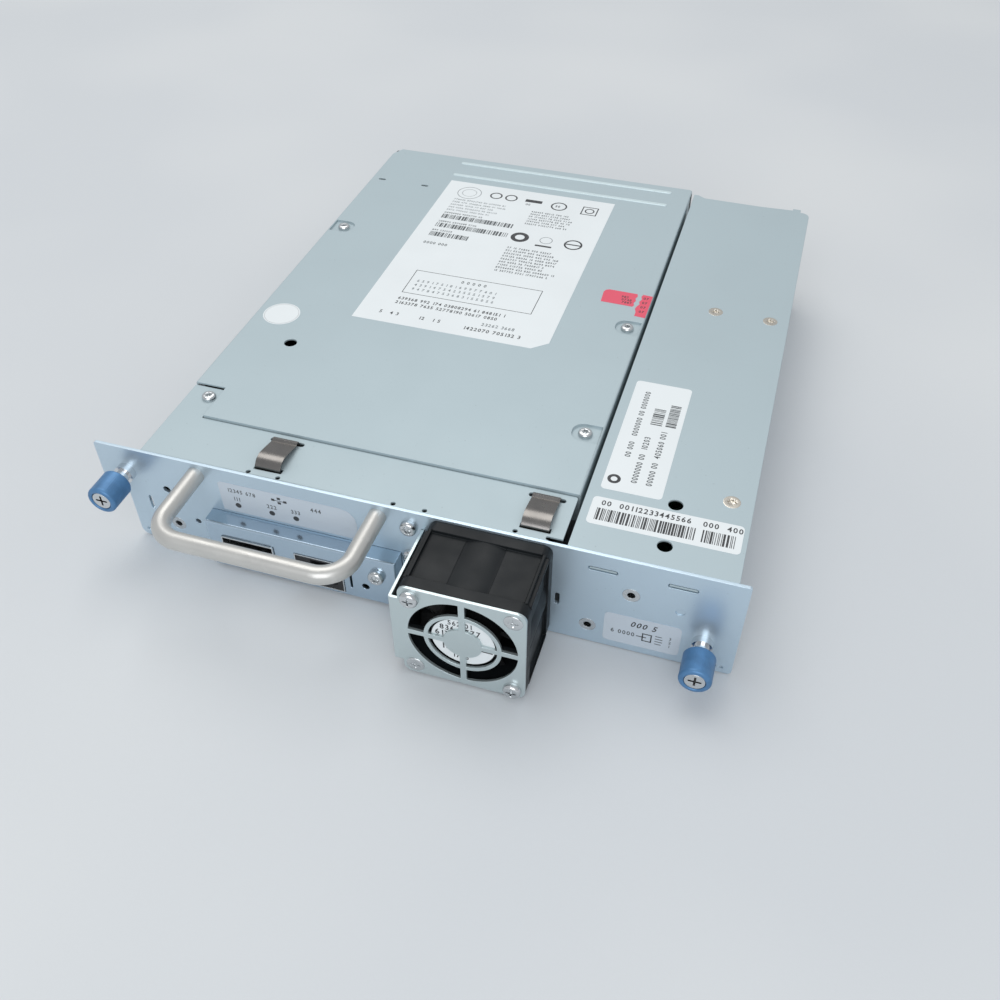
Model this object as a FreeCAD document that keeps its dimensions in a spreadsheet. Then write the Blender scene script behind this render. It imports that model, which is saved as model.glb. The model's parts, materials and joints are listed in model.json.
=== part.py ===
import FreeCAD, Part
import math
import os

import Sketcher
from FreeCAD import Placement, Rotation, Vector

# A half-height tape drive module for a library: a sheet-metal sled that carries the drive, a side box
# with the interface board, and a front panel with a handle, a fan, connectors and two captive screws.
# Millimetres. X runs along the panel, Y from the panel towards the cartridge slot, Z is up.
# Every piece is drawn from the panel's lower left front corner, then moved so that the model's origin is
# the middle of the underside of its bounding box.

SIZES = {
    # front panel and its ears
    "panel_width": 221.0, "panel_height": 41.4, "panel_thick": 1.2,
    "ear_inset": 8.2, "ear_step_level": 22.0, "panel_hole_gap": 0.1,
    # sled
    "module_depth": 236.0, "sled_left": 17.4, "sheet_thick": 0.8, "tray_thick": 1.0, "tray_wall_height": 16.0,
    # tape drive
    "drive_width": 146.3, "drive_height": 41.4, "rear_section_depth": 22.4, "cast_wall": 2.6,
    "deck_level": 10.0, "deck_thick": 2.4, "board_thick": 1.6, "cover_flange": 12.0,
    # side box
    "side_box_gap": 1.3, "side_box_width": 52.2, "side_box_depth": 231.0,
    # connector bracket
    "bracket_left": 41.0, "bracket_width": 69.0, "bracket_top": 22.0,
    "bracket_reach": 6.0, "bracket_thick": 1.0, "bracket_flange": 3.0,
    # handle
    "handle_left": 38.0, "handle_span": 65.0, "handle_level": 36.7, "handle_reach": 29.0,
    "handle_rod": 6.1, "handle_bend": 9.5, "handle_screw": 4.0,
    # captive screws: left and right
    "left_screw_across": 10.3, "left_screw_level": 31.0,
    "right_screw_across": 210.4, "right_screw_level": 12.6,
    "knob_dia": 10.4, "knob_length": 10.2, "knob_face_reach": 16.0, "shank_dia": 3.0, "running_gap": 0.05,
    "ferrule_dia": 4.8, "ferrule_collar_dia": 6.8, "ferrule_length": 7.0,
    # fan
    "fan_clear": 7.8, "fan_foot": 0.6, "fan_size": 40.0, "fan_depth": 28.0, "fan_pitch": 32.0,
    "fan_bore": 37.4, "fan_flange": 4.2, "fan_hub": 21.0, "blade_gap": 0.9, "guard_thick": 1.0,
    "guard_slot_outer": 35.2, "guard_slot_inner": 25.0, "guard_ring_inner": 22.2, "guard_disc": 12.4,
    "guard_spoke": 2.0, "fan_side_gap": 2.2,
    # cartridge and its bay
    "cartridge_width": 105.4, "cartridge_length": 102.0, "cartridge_height": 21.5, "bay_gap": 0.8,
    "bay_floor": 14.6, "bezel_thick": 4.0, "bezel_inset": 0.6, "door_thick": 1.6, "door_pin_dia": 2.0,
    "eject_travel": 12.0, "slide_gap": 0.1, "carrier_length": 62.0, "carrier_wall": 1.4,
    # tape path
    "reel_dia": 88.0, "reel_hub_dia": 44.0, "tape_width": 12.7, "reel_flange": 1.2, "spindle_dia": 6.0,
    "head_travel": 5.0, "roller_dia": 9.0, "roller_post": 3.0,
}


class Size:
    """A length: its value now, and the spreadsheet expression that gives it."""

    def __init__(self, value, text=None):
        self.value = float(value)
        self.text = text or repr(float(value))
        self.driven = text is not None

    def joined(self, sign, other, value):
        other = sized(other)
        text = f"({self.text} {sign} {other.text})"
        return Size(value, text if self.driven or other.driven else None)

    def __add__(self, other):
        return self.joined("+", other, self.value + sized(other).value)

    def __sub__(self, other):
        return self.joined("-", other, self.value - sized(other).value)

    def __mul__(self, other):
        return self.joined("*", other, self.value * sized(other).value)

    def __truediv__(self, other):
        return self.joined("/", other, self.value / sized(other).value)

    def __radd__(self, other):
        return sized(other) + self

    def __rsub__(self, other):
        return sized(other) - self

    def __rmul__(self, other):
        return sized(other) * self

    def __neg__(self):
        return sized(0) - self

    def root(self):
        return Size(math.sqrt(self.value), f"sqrt({self.text})")


def sized(length):
    return length if isinstance(length, Size) else Size(length)


class Dimensions:
    """The driving dimensions as Size attributes, each bound to its spreadsheet cell."""

    def __init__(self, sizes):
        for name, value in sizes.items():
            setattr(self, name, Size(value, f"Dims.{name}"))


def write_sheet(document, sizes):
    sheet = document.addObject("Spreadsheet::Sheet", "Dims")
    for row, (name, value) in enumerate(sizes.items(), start=1):
        sheet.set(f"A{row}", name)
        sheet.set(f"B{row}", str(value))
        sheet.setAlias(f"B{row}", name)
    document.recompute()


os.makedirs("parts", exist_ok=True)
doc = FreeCAD.newDocument("TapeDriveModule")
write_sheet(doc, SIZES)
D = Dimensions(SIZES)

# Levels and edges that several pieces share.
MIDDLE = D.panel_width / 2
FRONT_REACH = D.handle_reach + D.handle_rod / 2
BACK_SHIFT = (D.module_depth - FRONT_REACH) / 2
PANEL_BACK = D.panel_thick
DRIVE_LEFT = D.sled_left
DRIVE_RIGHT = DRIVE_LEFT + D.drive_width
DRIVE_MIDDLE = DRIVE_LEFT + D.drive_width / 2
DRIVE_TOP = D.tray_thick + D.drive_height
DRIVE_REAR = D.rear_section_depth + 0.3
CAST_LEFT = DRIVE_LEFT + D.sheet_thick
CAST_RIGHT = DRIVE_RIGHT - D.sheet_thick
CAST_TOP = DRIVE_TOP - D.sheet_thick
CAST_FOOT = D.tray_thick + D.sheet_thick
CAST_REAR = DRIVE_REAR + D.sheet_thick
BEZEL_BACK = D.module_depth - D.bezel_inset - D.bezel_thick
DECK_TOP = D.deck_level + D.deck_thick
BOX_LEFT = DRIVE_RIGHT + D.side_box_gap
BOX_RIGHT = BOX_LEFT + D.side_box_width
BOX_BACK = D.panel_thick + D.side_box_depth
BOX_TOP = D.panel_height
FAN_BACK = sized(0)
FAN_FRONT = -D.fan_depth
GUARD_FRONT = FAN_FRONT - D.guard_thick
GUARD_FOOT = D.fan_foot + 5
GUARD_SHOULDER = D.fan_foot + D.fan_size - 5.6
BRACKET_RIGHT = D.bracket_left + D.bracket_width
BRACKET_FOOT = D.tray_thick
SIDE_PLATE = BRACKET_RIGHT + D.fan_clear
FAN_LEFT = SIDE_PLATE + D.guard_thick + D.fan_side_gap
FAN_ACROSS = FAN_LEFT + D.fan_size / 2
FAN_LEVEL = D.fan_foot + D.fan_size / 2
FERRULE_NECK = D.ferrule_dia + 0.7
HANDLE_RIGHT = D.handle_left + D.handle_span
BAY_LEFT = DRIVE_MIDDLE - D.cartridge_width / 2 - D.bay_gap
BAY_RIGHT = DRIVE_MIDDLE + D.cartridge_width / 2 + D.bay_gap
BAY_TOP = D.bay_floor + D.cartridge_height + 2 * D.bay_gap
CARTRIDGE_NOSE = BEZEL_BACK - D.cartridge_length - 2
SUPPLY_Y = CARTRIDGE_NOSE + D.cartridge_length / 2
REEL_Y = CAST_REAR + D.cast_wall + D.reel_dia / 2 + 4
REEL_X = DRIVE_MIDDLE + 22
REEL_FOOT = DECK_TOP + 4.4

RIGHT_SCREW = D.right_screw_across
FERRULE_GAP = 0.02

SUB_PARTS = []
STARTS = {}


def keep(item, node):
    """Name a finished sub-part and move it from the panel's corner to the model's origin."""
    item.Label = node
    start = STARTS.get(item.Name, (0, 0, 0))
    for axis, number, shift in zip("xyz", start, (MIDDLE, BACK_SHIFT, 0)):
        bind(item, f"Placement.Base.{axis}", number - shift)
    SUB_PARTS.append(item)
    return item


def bind(item, attribute, size):
    """Set a property and tie it to its spreadsheet expression."""
    size = sized(size)
    if "." not in attribute:
        setattr(item, attribute, size.value)
    if size.driven:
        item.setExpression(attribute, size.text)


# ---------------------------------------------------------------- PartDesign helpers

PLANE_SIGN = {"XY_Plane": 1, "XZ_Plane": -1, "YZ_Plane": 1}


class Profile:
    """A sketch on an origin plane of its own body, at a level along the plane's axis."""

    def __init__(self, body, name, plane, level=0, centre=(0, 0)):
        self.sketch = body.newObject("Sketcher::SketchObject", name)
        origin = next(item for item in body.Origin.OriginFeatures if item.Role == plane)
        self.sketch.AttachmentSupport = (origin, [""])
        self.sketch.MapMode = "FlatFace"
        self.body = body
        self.sign = PLANE_SIGN[plane]
        offsets = (sized(centre[0]), sized(centre[1]), self.sign * sized(level))
        self.sketch.AttachmentOffset = Placement(Vector(*(size.value for size in offsets)), Rotation())
        for axis, size in zip("xyz", offsets):
            bind(self.sketch, f"AttachmentOffset.Base.{axis}", size)

    def fix(self, constraint, size):
        index = self.sketch.addConstraint(constraint)
        if size.driven:
            self.sketch.setExpression(f"Constraints[{index}]", size.text)

    def pin(self, item, end, x, y):
        """Hold one end of an edge at a place measured from the sketch's origin."""
        for kind, size in (("DistanceX", sized(x)), ("DistanceY", sized(y))):
            self.fix(Sketcher.Constraint(kind, -1, 1, item, end, size.value), size)

    def line(self, start, finish):
        ends = [Vector(sized(x).value, sized(y).value, 0) for x, y in (start, finish)]
        item = self.sketch.addGeometry(Part.LineSegment(*ends))
        self.pin(item, 1, *start)
        self.pin(item, 2, *finish)
        return item

    def arc(self, start, finish, centre, radius, clockwise=False):
        """An arc between two ends already pinned by lines, given as (edge, end, (x, y))."""
        if clockwise:
            start, finish = finish, start
        middle = Vector(sized(centre[0]).value, sized(centre[1]).value, 0)
        angles = []
        for _, _, (x, y) in (start, finish):
            angles.append(math.atan2(sized(y).value - middle.y, sized(x).value - middle.x))
        if angles[1] <= angles[0]:
            angles[1] += 2 * math.pi
        radius = sized(radius)
        circle = Part.Circle(middle, Vector(0, 0, 1), radius.value)
        item = self.sketch.addGeometry(Part.ArcOfCircle(circle, *angles))
        self.sketch.addConstraint(Sketcher.Constraint("Coincident", item, 1, start[0], start[1]))
        self.sketch.addConstraint(Sketcher.Constraint("Coincident", item, 2, finish[0], finish[1]))
        return item, radius

    def outline(self, corners):
        """A closed outline. A corner is (x, y), or (x, y, radius) where two square edges meet."""
        points = [tuple(sized(number) for number in corner) for corner in corners]
        count = len(points)
        arrive, leave = [], []
        for index, corner in enumerate(points):
            before, after = points[index - 1], points[(index + 1) % count]
            arrive.append(self.trimmed(corner, before))
            leave.append(self.trimmed(corner, after))
        lines = [self.line(leave[index], arrive[(index + 1) % count]) for index in range(count)]
        for index, corner in enumerate(points):
            if len(corner) == 2:
                continue
            x = arrive[index][0] + leave[index][0] - corner[0]
            y = arrive[index][1] + leave[index][1] - corner[1]
            turn = self.turn(points[index - 1], corner, points[(index + 1) % count])
            ends = (lines[index - 1], 2, arrive[index]), (lines[index], 1, leave[index])
            item, radius = self.arc(*ends, (x, y), corner[2], clockwise=turn < 0)
            self.fix(Sketcher.Constraint("Radius", item, radius.value), radius)
        return self

    @staticmethod
    def trimmed(corner, neighbour):
        """Where a corner's rounding meets the edge to its neighbour."""
        if len(corner) == 2:
            return corner
        place = []
        for axis in (0, 1):
            step = neighbour[axis].value - corner[axis].value
            reach = corner[2] if step > 1e-6 else -corner[2]
            place.append(corner[axis] + reach if abs(step) > 1e-6 else corner[axis])
        return tuple(place)

    @staticmethod
    def turn(before, corner, after):
        first = corner[0].value - before[0].value, corner[1].value - before[1].value
        second = after[0].value - corner[0].value, after[1].value - corner[1].value
        return first[0] * second[1] - first[1] * second[0]

    def rectangle(self, left, right, low, high, radius=None):
        corners = [(left, low), (right, low), (right, high), (left, high)]
        if radius is not None:
            corners = [(*corner, radius) for corner in corners]
        return self.outline(corners)

    def circle(self, x, y, radius):
        radius = sized(radius)
        place = Vector(sized(x).value, sized(y).value, 0)
        item = self.sketch.addGeometry(Part.Circle(place, Vector(0, 0, 1), radius.value))
        self.pin(item, 3, x, y)
        self.fix(Sketcher.Constraint("Radius", item, radius.value), radius)
        return self

    def slot(self, x, y, length, width, upright=False):
        """A round-ended slot about its middle."""
        half, radius = sized(length) / 2 - sized(width) / 2, sized(width) / 2
        if upright:
            signs, reach = ((1, -1), (1, 1), (-1, 1), (-1, -1)), (radius, half)
        else:
            signs, reach = ((-1, -1), (1, -1), (1, 1), (-1, 1)), (half, radius)
        corners = [(x + reach[0] * right, y + reach[1] * up) for right, up in signs]
        first = self.line(corners[0], corners[1])
        second = self.line(corners[2], corners[3])
        for start, finish, sign in ((first, second, 1), (second, first, -1)):
            middle = (x, y + half * sign) if upright else (x + half * sign, y)
            ends = (corners[1], corners[2]) if sign > 0 else (corners[3], corners[0])
            item, _ = self.arc((start, 2, ends[0]), (finish, 1, ends[1]), middle, radius)
            kind, along = ("DistanceY", middle[1]) if upright else ("DistanceX", middle[0])
            along = sized(along)
            self.fix(Sketcher.Constraint(kind, -1, 1, item, 3, along.value), along)
        return self


def new_body(name):
    return doc.addObject("PartDesign::Body", name)


def extrude(kind, profile, length, towards):
    """Pad or pocket a profile along its plane's axis, towards +1 or -1 of it, and check that it counts."""
    body = profile.body
    before = body.Shape.Volume if body.Tip and not body.Shape.isNull() else 0
    feature = body.newObject(f"PartDesign::{kind}", f"{profile.sketch.Name}_{kind.lower()}")
    feature.Profile = profile.sketch
    along = profile.sign * towards
    feature.Reversed = along < 0 if kind == "Pad" else along > 0
    bind(feature, "Length", length)
    profile.sketch.Visibility = False
    doc.recompute()
    changed = body.Shape.Volume - before
    if (changed <= 1e-6) == (kind == "Pad"):
        raise ValueError(f"{feature.Name} changed the volume by {changed:.4f}")
    return feature


def pad(profile, length, towards=1):
    return extrude("Pad", profile, length, towards)


def pocket(profile, length, towards=1):
    return extrude("Pocket", profile, length, towards)


def revolve(profile, axis="V_Axis"):
    feature = profile.body.newObject("PartDesign::Revolution", f"{profile.sketch.Name}_turned")
    feature.Profile = profile.sketch
    feature.ReferenceAxis = (profile.sketch, [axis])
    feature.Angle = 360
    doc.recompute()
    return feature


def around(body, feature, profile, count, axis):
    """Repeat a feature about an axis of a sketch."""
    pattern = body.newObject("PartDesign::PolarPattern", f"{feature.Name}_ring")
    pattern.Originals = [feature]
    pattern.Axis = (profile.sketch, [axis])
    pattern.Angle = 360
    pattern.Occurrences = count
    body.Tip = pattern
    doc.recompute()
    return pattern


def dress(kind, body, size, chosen):
    """Fillet or chamfer the edges of a body that a test picks."""
    names = [f"Edge{i}" for i, edge in enumerate(body.Shape.Edges, start=1) if chosen(edge)]
    base = body.Tip
    feature = body.newObject(f"PartDesign::{kind}", f"{body.Name}_{kind.lower()}{len(body.Group)}")
    feature.Base = (base, names)
    bind(feature, "Radius" if kind == "Fillet" else "Size", size)
    body.Tip = feature
    doc.recompute()
    return feature


def runs_along(edge, axis):
    """Whether an edge is straight and parallel to an axis."""
    if edge.Curve.TypeId != "Part::GeomLine":
        return False
    return abs(abs(edge.Curve.Direction.dot(axis)) - 1) < 1e-6


def turned_along_y(node, across, level, corners):
    """A body turned about a line along Y. Its corners are (radius, y)."""
    body = new_body(node)
    profile = Profile(body, f"{node}_section", "XY_Plane", level, (across, 0)).outline(corners)
    revolve(profile)
    return body


def turned_upright(node, across, along, corners):
    """A body turned about a vertical line. Its corners are (radius, z)."""
    body = new_body(node)
    profile = Profile(body, f"{node}_section", "XZ_Plane", along, (across, 0)).outline(corners)
    revolve(profile)
    return body


# ---------------------------------------------------------------- Part helpers


def put(item, start, turn=Rotation()):
    """Place a primitive, each coordinate bound to its expression."""
    start = [sized(number) for number in start]
    STARTS[item.Name] = start
    item.Placement = Placement(Vector(*(number.value for number in start)), turn)
    for axis, number in zip("xyz", start):
        bind(item, f"Placement.Base.{axis}", number)


def block(name, across, along, upright):
    """A box between pairs of X, Y and Z."""
    box = doc.addObject("Part::Box", name)
    for side, (low, high) in zip(("Length", "Width", "Height"), (across, along, upright)):
        bind(box, side, sized(high) - low)
    put(box, (across[0], along[0], upright[0]))
    return box


TURNS = {"x": Rotation(Vector(0, 1, 0), 90), "y": Rotation(Vector(1, 0, 0), -90), "z": Rotation()}


def rod(name, axis, start, radius, length):
    """A cylinder that runs from its start towards + of an axis."""
    item = doc.addObject("Part::Cylinder", name)
    put(item, start, TURNS[axis])
    bind(item, "Radius", radius)
    bind(item, "Height", length)
    return item


def cone(name, axis, start, first_radius, last_radius, length):
    item = doc.addObject("Part::Cone", name)
    put(item, start, TURNS[axis])
    bind(item, "Radius1", first_radius)
    bind(item, "Radius2", last_radius)
    bind(item, "Height", length)
    return item


def fuse(name, pieces):
    item = doc.addObject("Part::MultiFuse", name)
    item.Shapes = pieces
    item.Refine = True
    return item


def cut(name, base, tools):
    item = doc.addObject("Part::Cut", name)
    item.Base = base
    item.Tool = tools[0] if len(tools) == 1 else fuse(f"{name}_tools", tools)
    return item


def group(name, pieces):
    """Separate solids that share one node."""
    item = doc.addObject("Part::Compound", name)
    item.Links = pieces
    return item


def screw(name, axis, seat, head_dia, head_height, shank_dia, shank_length, towards=1):
    """A pan-head screw. Its head seats at a point and its shank runs towards + or - of the axis."""
    index = "xyz".index(axis)
    head_start, shank_start = list(seat), list(seat)
    if towards > 0:
        head_start[index] = seat[index] - sized(head_height)
    else:
        shank_start[index] = seat[index] - sized(shank_length)
    head = rod(f"{name}_head", axis, head_start, sized(head_dia) / 2, head_height)
    shank = rod(f"{name}_shank", axis, shank_start, sized(shank_dia) / 2, shank_length)
    return fuse(name, [head, shank])


M3_HEAD, M3_HEIGHT, M3_SHANK = 5.8, 2.0, 3.0
M25_HEAD, M25_HEIGHT, M25_SHANK, M25_LENGTH = 5.0, 1.6, 2.5, 6.0
PANEL_SCREW_LENGTH = 5.0
FLAT_HEAD, FLAT_DEPTH, FLAT_LENGTH, SEAT_EASE = 5.6, 0.65, 5.0, 0.05
HOLE_GAP = 0.1
THROUGH = 1.0


def countersink(body, name, across, along, face, towards):
    """A conical seat with a through hole, sunk into a level face towards + or - of Z."""
    head, shank = FLAT_HEAD / 2 + SEAT_EASE, M3_SHANK / 2 + SEAT_EASE
    seat = Profile(body, name, "XZ_Plane", along, (across, 0)).outline([
        (0, face), (head, face), (shank, face + FLAT_DEPTH * towards), (shank, face + 3 * towards),
        (0, face + 3 * towards)])
    groove = body.newObject("PartDesign::Groove", f"{name}_groove")
    groove.Profile = seat.sketch
    groove.ReferenceAxis = (seat.sketch, ["V_Axis"])
    groove.Angle = 360
    doc.recompute()


def countersunk(name, face, towards):
    """A flat-head screw whose top lies flush with a level face and whose shank runs towards + or - of Z."""
    across, along, level = face
    radii = [FLAT_HEAD / 2, M3_SHANK / 2]
    if towards > 0:
        cone_foot, shank_foot = level, level + FLAT_DEPTH
    else:
        cone_foot, shank_foot = level - FLAT_DEPTH, level - FLAT_DEPTH - FLAT_LENGTH
        radii.reverse()
    head = cone(f"{name}_head", "z", (across, along, cone_foot), radii[0], radii[1], FLAT_DEPTH)
    shank = rod(f"{name}_shank", "z", (across, along, shank_foot), M3_SHANK / 2, FLAT_LENGTH)
    return fuse(name, [head, shank])


def coil_spring(name, axis, start, length, coil_dia, wire_dia, turns):
    """A wire wound from short straight runs, with its ends at the start and the finish."""
    steps = 12 * turns
    length, radius = sized(length).value, sized(coil_dia).value / 2
    pitch = length - sized(wire_dia).value
    route = []
    for step in range(steps + 1):
        angle = 2 * math.pi * step / 12
        along = sized(wire_dia).value / 2 + pitch * step / steps
        route.append(Vector(radius * math.cos(angle), radius * math.sin(angle), along))
    path = Part.makePolygon(route)
    section = Part.makePolygon(ring_points(route[0], route[1] - route[0], sized(wire_dia).value / 2, 6))
    shape = path.makePipeShell([section], True, False, 1)
    item = doc.addObject("Part::Feature", name)
    item.Shape = shape
    put(item, start, TURNS[axis])
    return item


def ring_points(centre, direction, radius, count):
    """A closed polygon about a point, square to a direction."""
    turn = Rotation(Vector(0, 0, 1), direction)
    points = []
    for step in range(count + 1):
        angle = 2 * math.pi * step / count
        points.append(centre + turn.multVec(Vector(radius * math.cos(angle), radius * math.sin(angle), 0)))
    points[-1] = points[0]
    return points


# ---------------------------------------------------------------- Sled: panel, tray, covers

PANEL_FOOT_ROUND, PANEL_TOP_ROUND, PANEL_END_ROUND, EAR_ROUND = 3.0, 0.8, 1.5, 1.0
FAN_WINDOW_ROUND = 6.0
CLINCH_DIA, CLINCH_BORE, CLINCH_BOSS = 5.6, 2.5, 2.2
CLINCH_NUTS = ((BOX_LEFT + 21.3, 26.6), (BOX_LEFT + 8.5, 8.0), (sized(25.0), 9.8))
TAB_SLOTS = ((BOX_LEFT + 11.8, 35.0), (BOX_LEFT + 36.5, 35.0))
TAB_LENGTH, TAB_THICK, TAB_SLOT_WIDTH = 8.6, 0.7, 1.7
BRACKET_SCREW_ACROSS = SIDE_PLATE - 4.2
BRACKET_SCREW_LEVELS = (34.8, 21.6)
LED_SPOTS = tuple(D.bracket_left + step for step in (10.8, 23.3, 32.1))
LED_LEVEL, LED_DIA = 26.5, 2.0
TOOLING_HOLES = ((sized(24.3), 26.0, 2.8), (sized(11.4), 2.9, 1.8), (sized(33.6), 13.4, 2.2),
                 (D.panel_width - 3.4, 2.6, 1.3), (D.panel_width - 5.6, 2.6, 1.3))
RELIEF_SLOTS = ((sized(16.3), 17.8, 6.4, 1.3), (BOX_LEFT - 2.0, 17.2, 5.4, 1.6))
DIMPLE_ACROSS, DIMPLE_LEVEL, DIMPLE_DIA = BOX_LEFT + 36.9, 24.0, 3.0


def front_panel():
    body = new_body("front_panel")
    plate = Profile(body, "panel_outline", "XZ_Plane").outline([
        (D.ear_inset, 0, PANEL_FOOT_ROUND), (D.panel_width, 0, PANEL_END_ROUND),
        (D.panel_width, D.panel_height, PANEL_TOP_ROUND), (0, D.panel_height, PANEL_TOP_ROUND),
        (0, D.ear_step_level, EAR_ROUND), (D.ear_inset, D.ear_step_level, EAR_ROUND)])
    pad(plate, D.panel_thick)
    gap, half = D.panel_hole_gap, D.fan_bore / 2
    windows = Profile(body, "panel_windows", "XZ_Plane")
    windows.rectangle(FAN_ACROSS - half, FAN_ACROSS + half, FAN_LEVEL - half, FAN_LEVEL + half,
                      FAN_WINDOW_ROUND)
    windows.rectangle(D.bracket_left - gap, BRACKET_RIGHT + gap, BRACKET_FOOT - gap, D.bracket_top + gap)
    windows.rectangle(SIDE_PLATE - gap, SIDE_PLATE + D.guard_thick + gap,
                      GUARD_FOOT - gap, GUARD_SHOULDER + gap)
    pocket(windows, PANEL_BACK + THROUGH)
    holes = Profile(body, "panel_holes", "XZ_Plane")
    for across, level in ((D.left_screw_across, D.left_screw_level), (RIGHT_SCREW, D.right_screw_level)):
        holes.circle(across, level, FERRULE_NECK / 2 + FERRULE_GAP)
    for across in (D.handle_left, HANDLE_RIGHT):
        holes.circle(across, D.handle_level, D.handle_screw / 2 + gap)
    for across, level in CLINCH_NUTS:
        holes.circle(across, level, CLINCH_DIA / 2)
    for level in BRACKET_SCREW_LEVELS:
        holes.circle(BRACKET_SCREW_ACROSS, level, M3_SHANK / 2 + gap)
    for across in LED_SPOTS:
        holes.circle(across, LED_LEVEL, LED_DIA / 2 + gap)
    for across, level, dia in TOOLING_HOLES:
        holes.circle(across, level, dia / 2)
    for across, level in TAB_SLOTS:
        holes.slot(across, level, TAB_LENGTH + 0.8, TAB_SLOT_WIDTH)
    for across, level, length, width in RELIEF_SLOTS:
        holes.slot(across, level, length, width, upright=True)
    pocket(holes, PANEL_BACK + THROUGH)
    dimple = Profile(body, "panel_dimple", "XZ_Plane").circle(DIMPLE_ACROSS, DIMPLE_LEVEL, DIMPLE_DIA / 2)
    pocket(dimple, D.panel_thick / 3)
    keep(body, "front_panel")


def clinch_nuts():
    """Nuts pressed flush into the panel, each with its threaded boss behind."""
    nuts = []
    for i, (across, level) in enumerate(CLINCH_NUTS, start=1):
        name = f"clinch_nut_{i}"
        flush = rod(f"{name}_flush", "y", (across, 0, level), CLINCH_DIA / 2, D.panel_thick)
        boss = rod(f"{name}_boss", "y", (across, PANEL_BACK, level), CLINCH_DIA / 2 - 0.6, CLINCH_BOSS)
        bore = rod(f"{name}_bore", "y", (across, -THROUGH, level), CLINCH_BORE / 2,
                   D.panel_thick + CLINCH_BOSS + 2 * THROUGH)
        nuts.append(cut(name, fuse(f"{name}_blank", [flush, boss]), [bore]))
    keep(group("clinch_nut_group", nuts), "clinch_nuts")


TRAY_LEFT = DRIVE_LEFT - D.tray_thick
TRAY_ROUND, TRAY_LIP_TOP = 3.0, 7.0
TRAY_BACK_INSET, TRAY_WALL_INSET = 4.0, 10.0
MOUNT_INSET = 7.1
MOUNT_SCREWS = tuple((across, along) for across in (DRIVE_LEFT + MOUNT_INSET, DRIVE_RIGHT - MOUNT_INSET)
                     for along in (sized(60.0), D.module_depth - 46.0))


def sled_tray():
    body = new_body("sled_tray")
    box_end = BOX_BACK - TRAY_BACK_INSET
    floor = Profile(body, "tray_floor", "XY_Plane").outline([
        (TRAY_LEFT, PANEL_BACK), (BOX_RIGHT, PANEL_BACK), (BOX_RIGHT, box_end, TRAY_ROUND),
        (BOX_LEFT, box_end, TRAY_ROUND), (BOX_LEFT, BEZEL_BACK), (TRAY_LEFT, BEZEL_BACK, TRAY_ROUND)])
    pad(floor, D.tray_thick)
    left_wall = Profile(body, "tray_left_wall", "XY_Plane")
    left_wall.rectangle(TRAY_LEFT, DRIVE_LEFT, PANEL_BACK, BEZEL_BACK - TRAY_WALL_INSET)
    pad(left_wall, D.tray_wall_height)
    right_wall = Profile(body, "tray_right_wall", "XY_Plane")
    right_wall.rectangle(BOX_RIGHT - D.tray_thick, BOX_RIGHT, PANEL_BACK, BOX_BACK - TRAY_WALL_INSET)
    pad(right_wall, BOX_TOP - D.sheet_thick)
    lips = Profile(body, "tray_lips", "XZ_Plane", PANEL_BACK)
    lips.rectangle(TRAY_LEFT, D.bracket_left - 4, 0, TRAY_LIP_TOP)
    lips.rectangle(BOX_LEFT + 18, BOX_RIGHT, 0, TRAY_LIP_TOP)
    pad(lips, D.tray_thick)
    for i, (across, along) in enumerate(MOUNT_SCREWS, start=1):
        countersink(body, f"tray_seat_{i}", across, along, sized(0), 1)
    keep(body, "sled_tray")


DISH_DEPTH, DISH_RADIUS = 1.0, 4.6
LEFT_DISHES = ((DRIVE_LEFT + 5.8, sized(157.4)),)
RIGHT_DISHES = ((DRIVE_RIGHT - 5.9, sized(52.9)), (DRIVE_RIGHT - 5.5, sized(118.3)))
TAB_SCREW = (DRIVE_LEFT + 8.4, sized(32.9))
CASE_SCREWS = LEFT_DISHES + RIGHT_DISHES + (TAB_SCREW,)
TAB_RIGHT, TAB_BACK = TAB_SCREW[0] + 3.0, TAB_SCREW[1] + 5.6
TAB_GAP = 0.4
COVER_CLEARANCE_DIA = 3.2
COVER_CORNER, COVER_CORNER_DEPTH, COVER_ROUND = 3.2, 6.5, 1.5
VIEW_HOLE = (DRIVE_LEFT + 21.9, 70.8, 4.8)
LANCE_SLOTS = ((DRIVE_LEFT + 5.2, 203.6), (DRIVE_LEFT + 26.5, 203.4))
LANCE_LENGTH, LANCE_WIDTH = 3.4, 1.4
BEAD_LENGTH, BEAD_WIDTH, BEAD_HEIGHT = 102.0, 1.8, 0.35
BEADS = (D.module_depth - 18.2, D.module_depth - 6.0)
WELD = 0.2


def dish(body, name, across, along, edge, towards):
    """A screw dish pressed into the cover, open towards the sheet's edge."""
    for part, radius in (("wall", DISH_RADIUS + D.sheet_thick), ("hollow", sized(DISH_RADIUS))):
        inner = across - towards * radius
        level = DRIVE_TOP - DISH_DEPTH - (D.sheet_thick if part == "wall" else 0)
        shape = Profile(body, f"{name}_{part}", "XY_Plane", level)
        shape.outline([(inner, along - radius, radius * 0.9), (edge, along - radius),
                       (edge, along + radius), (inner, along + radius, radius * 0.9)])
        if part == "wall":
            pad(shape, DISH_DEPTH + WELD)
        else:
            pocket(shape, DISH_DEPTH + THROUGH)


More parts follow.
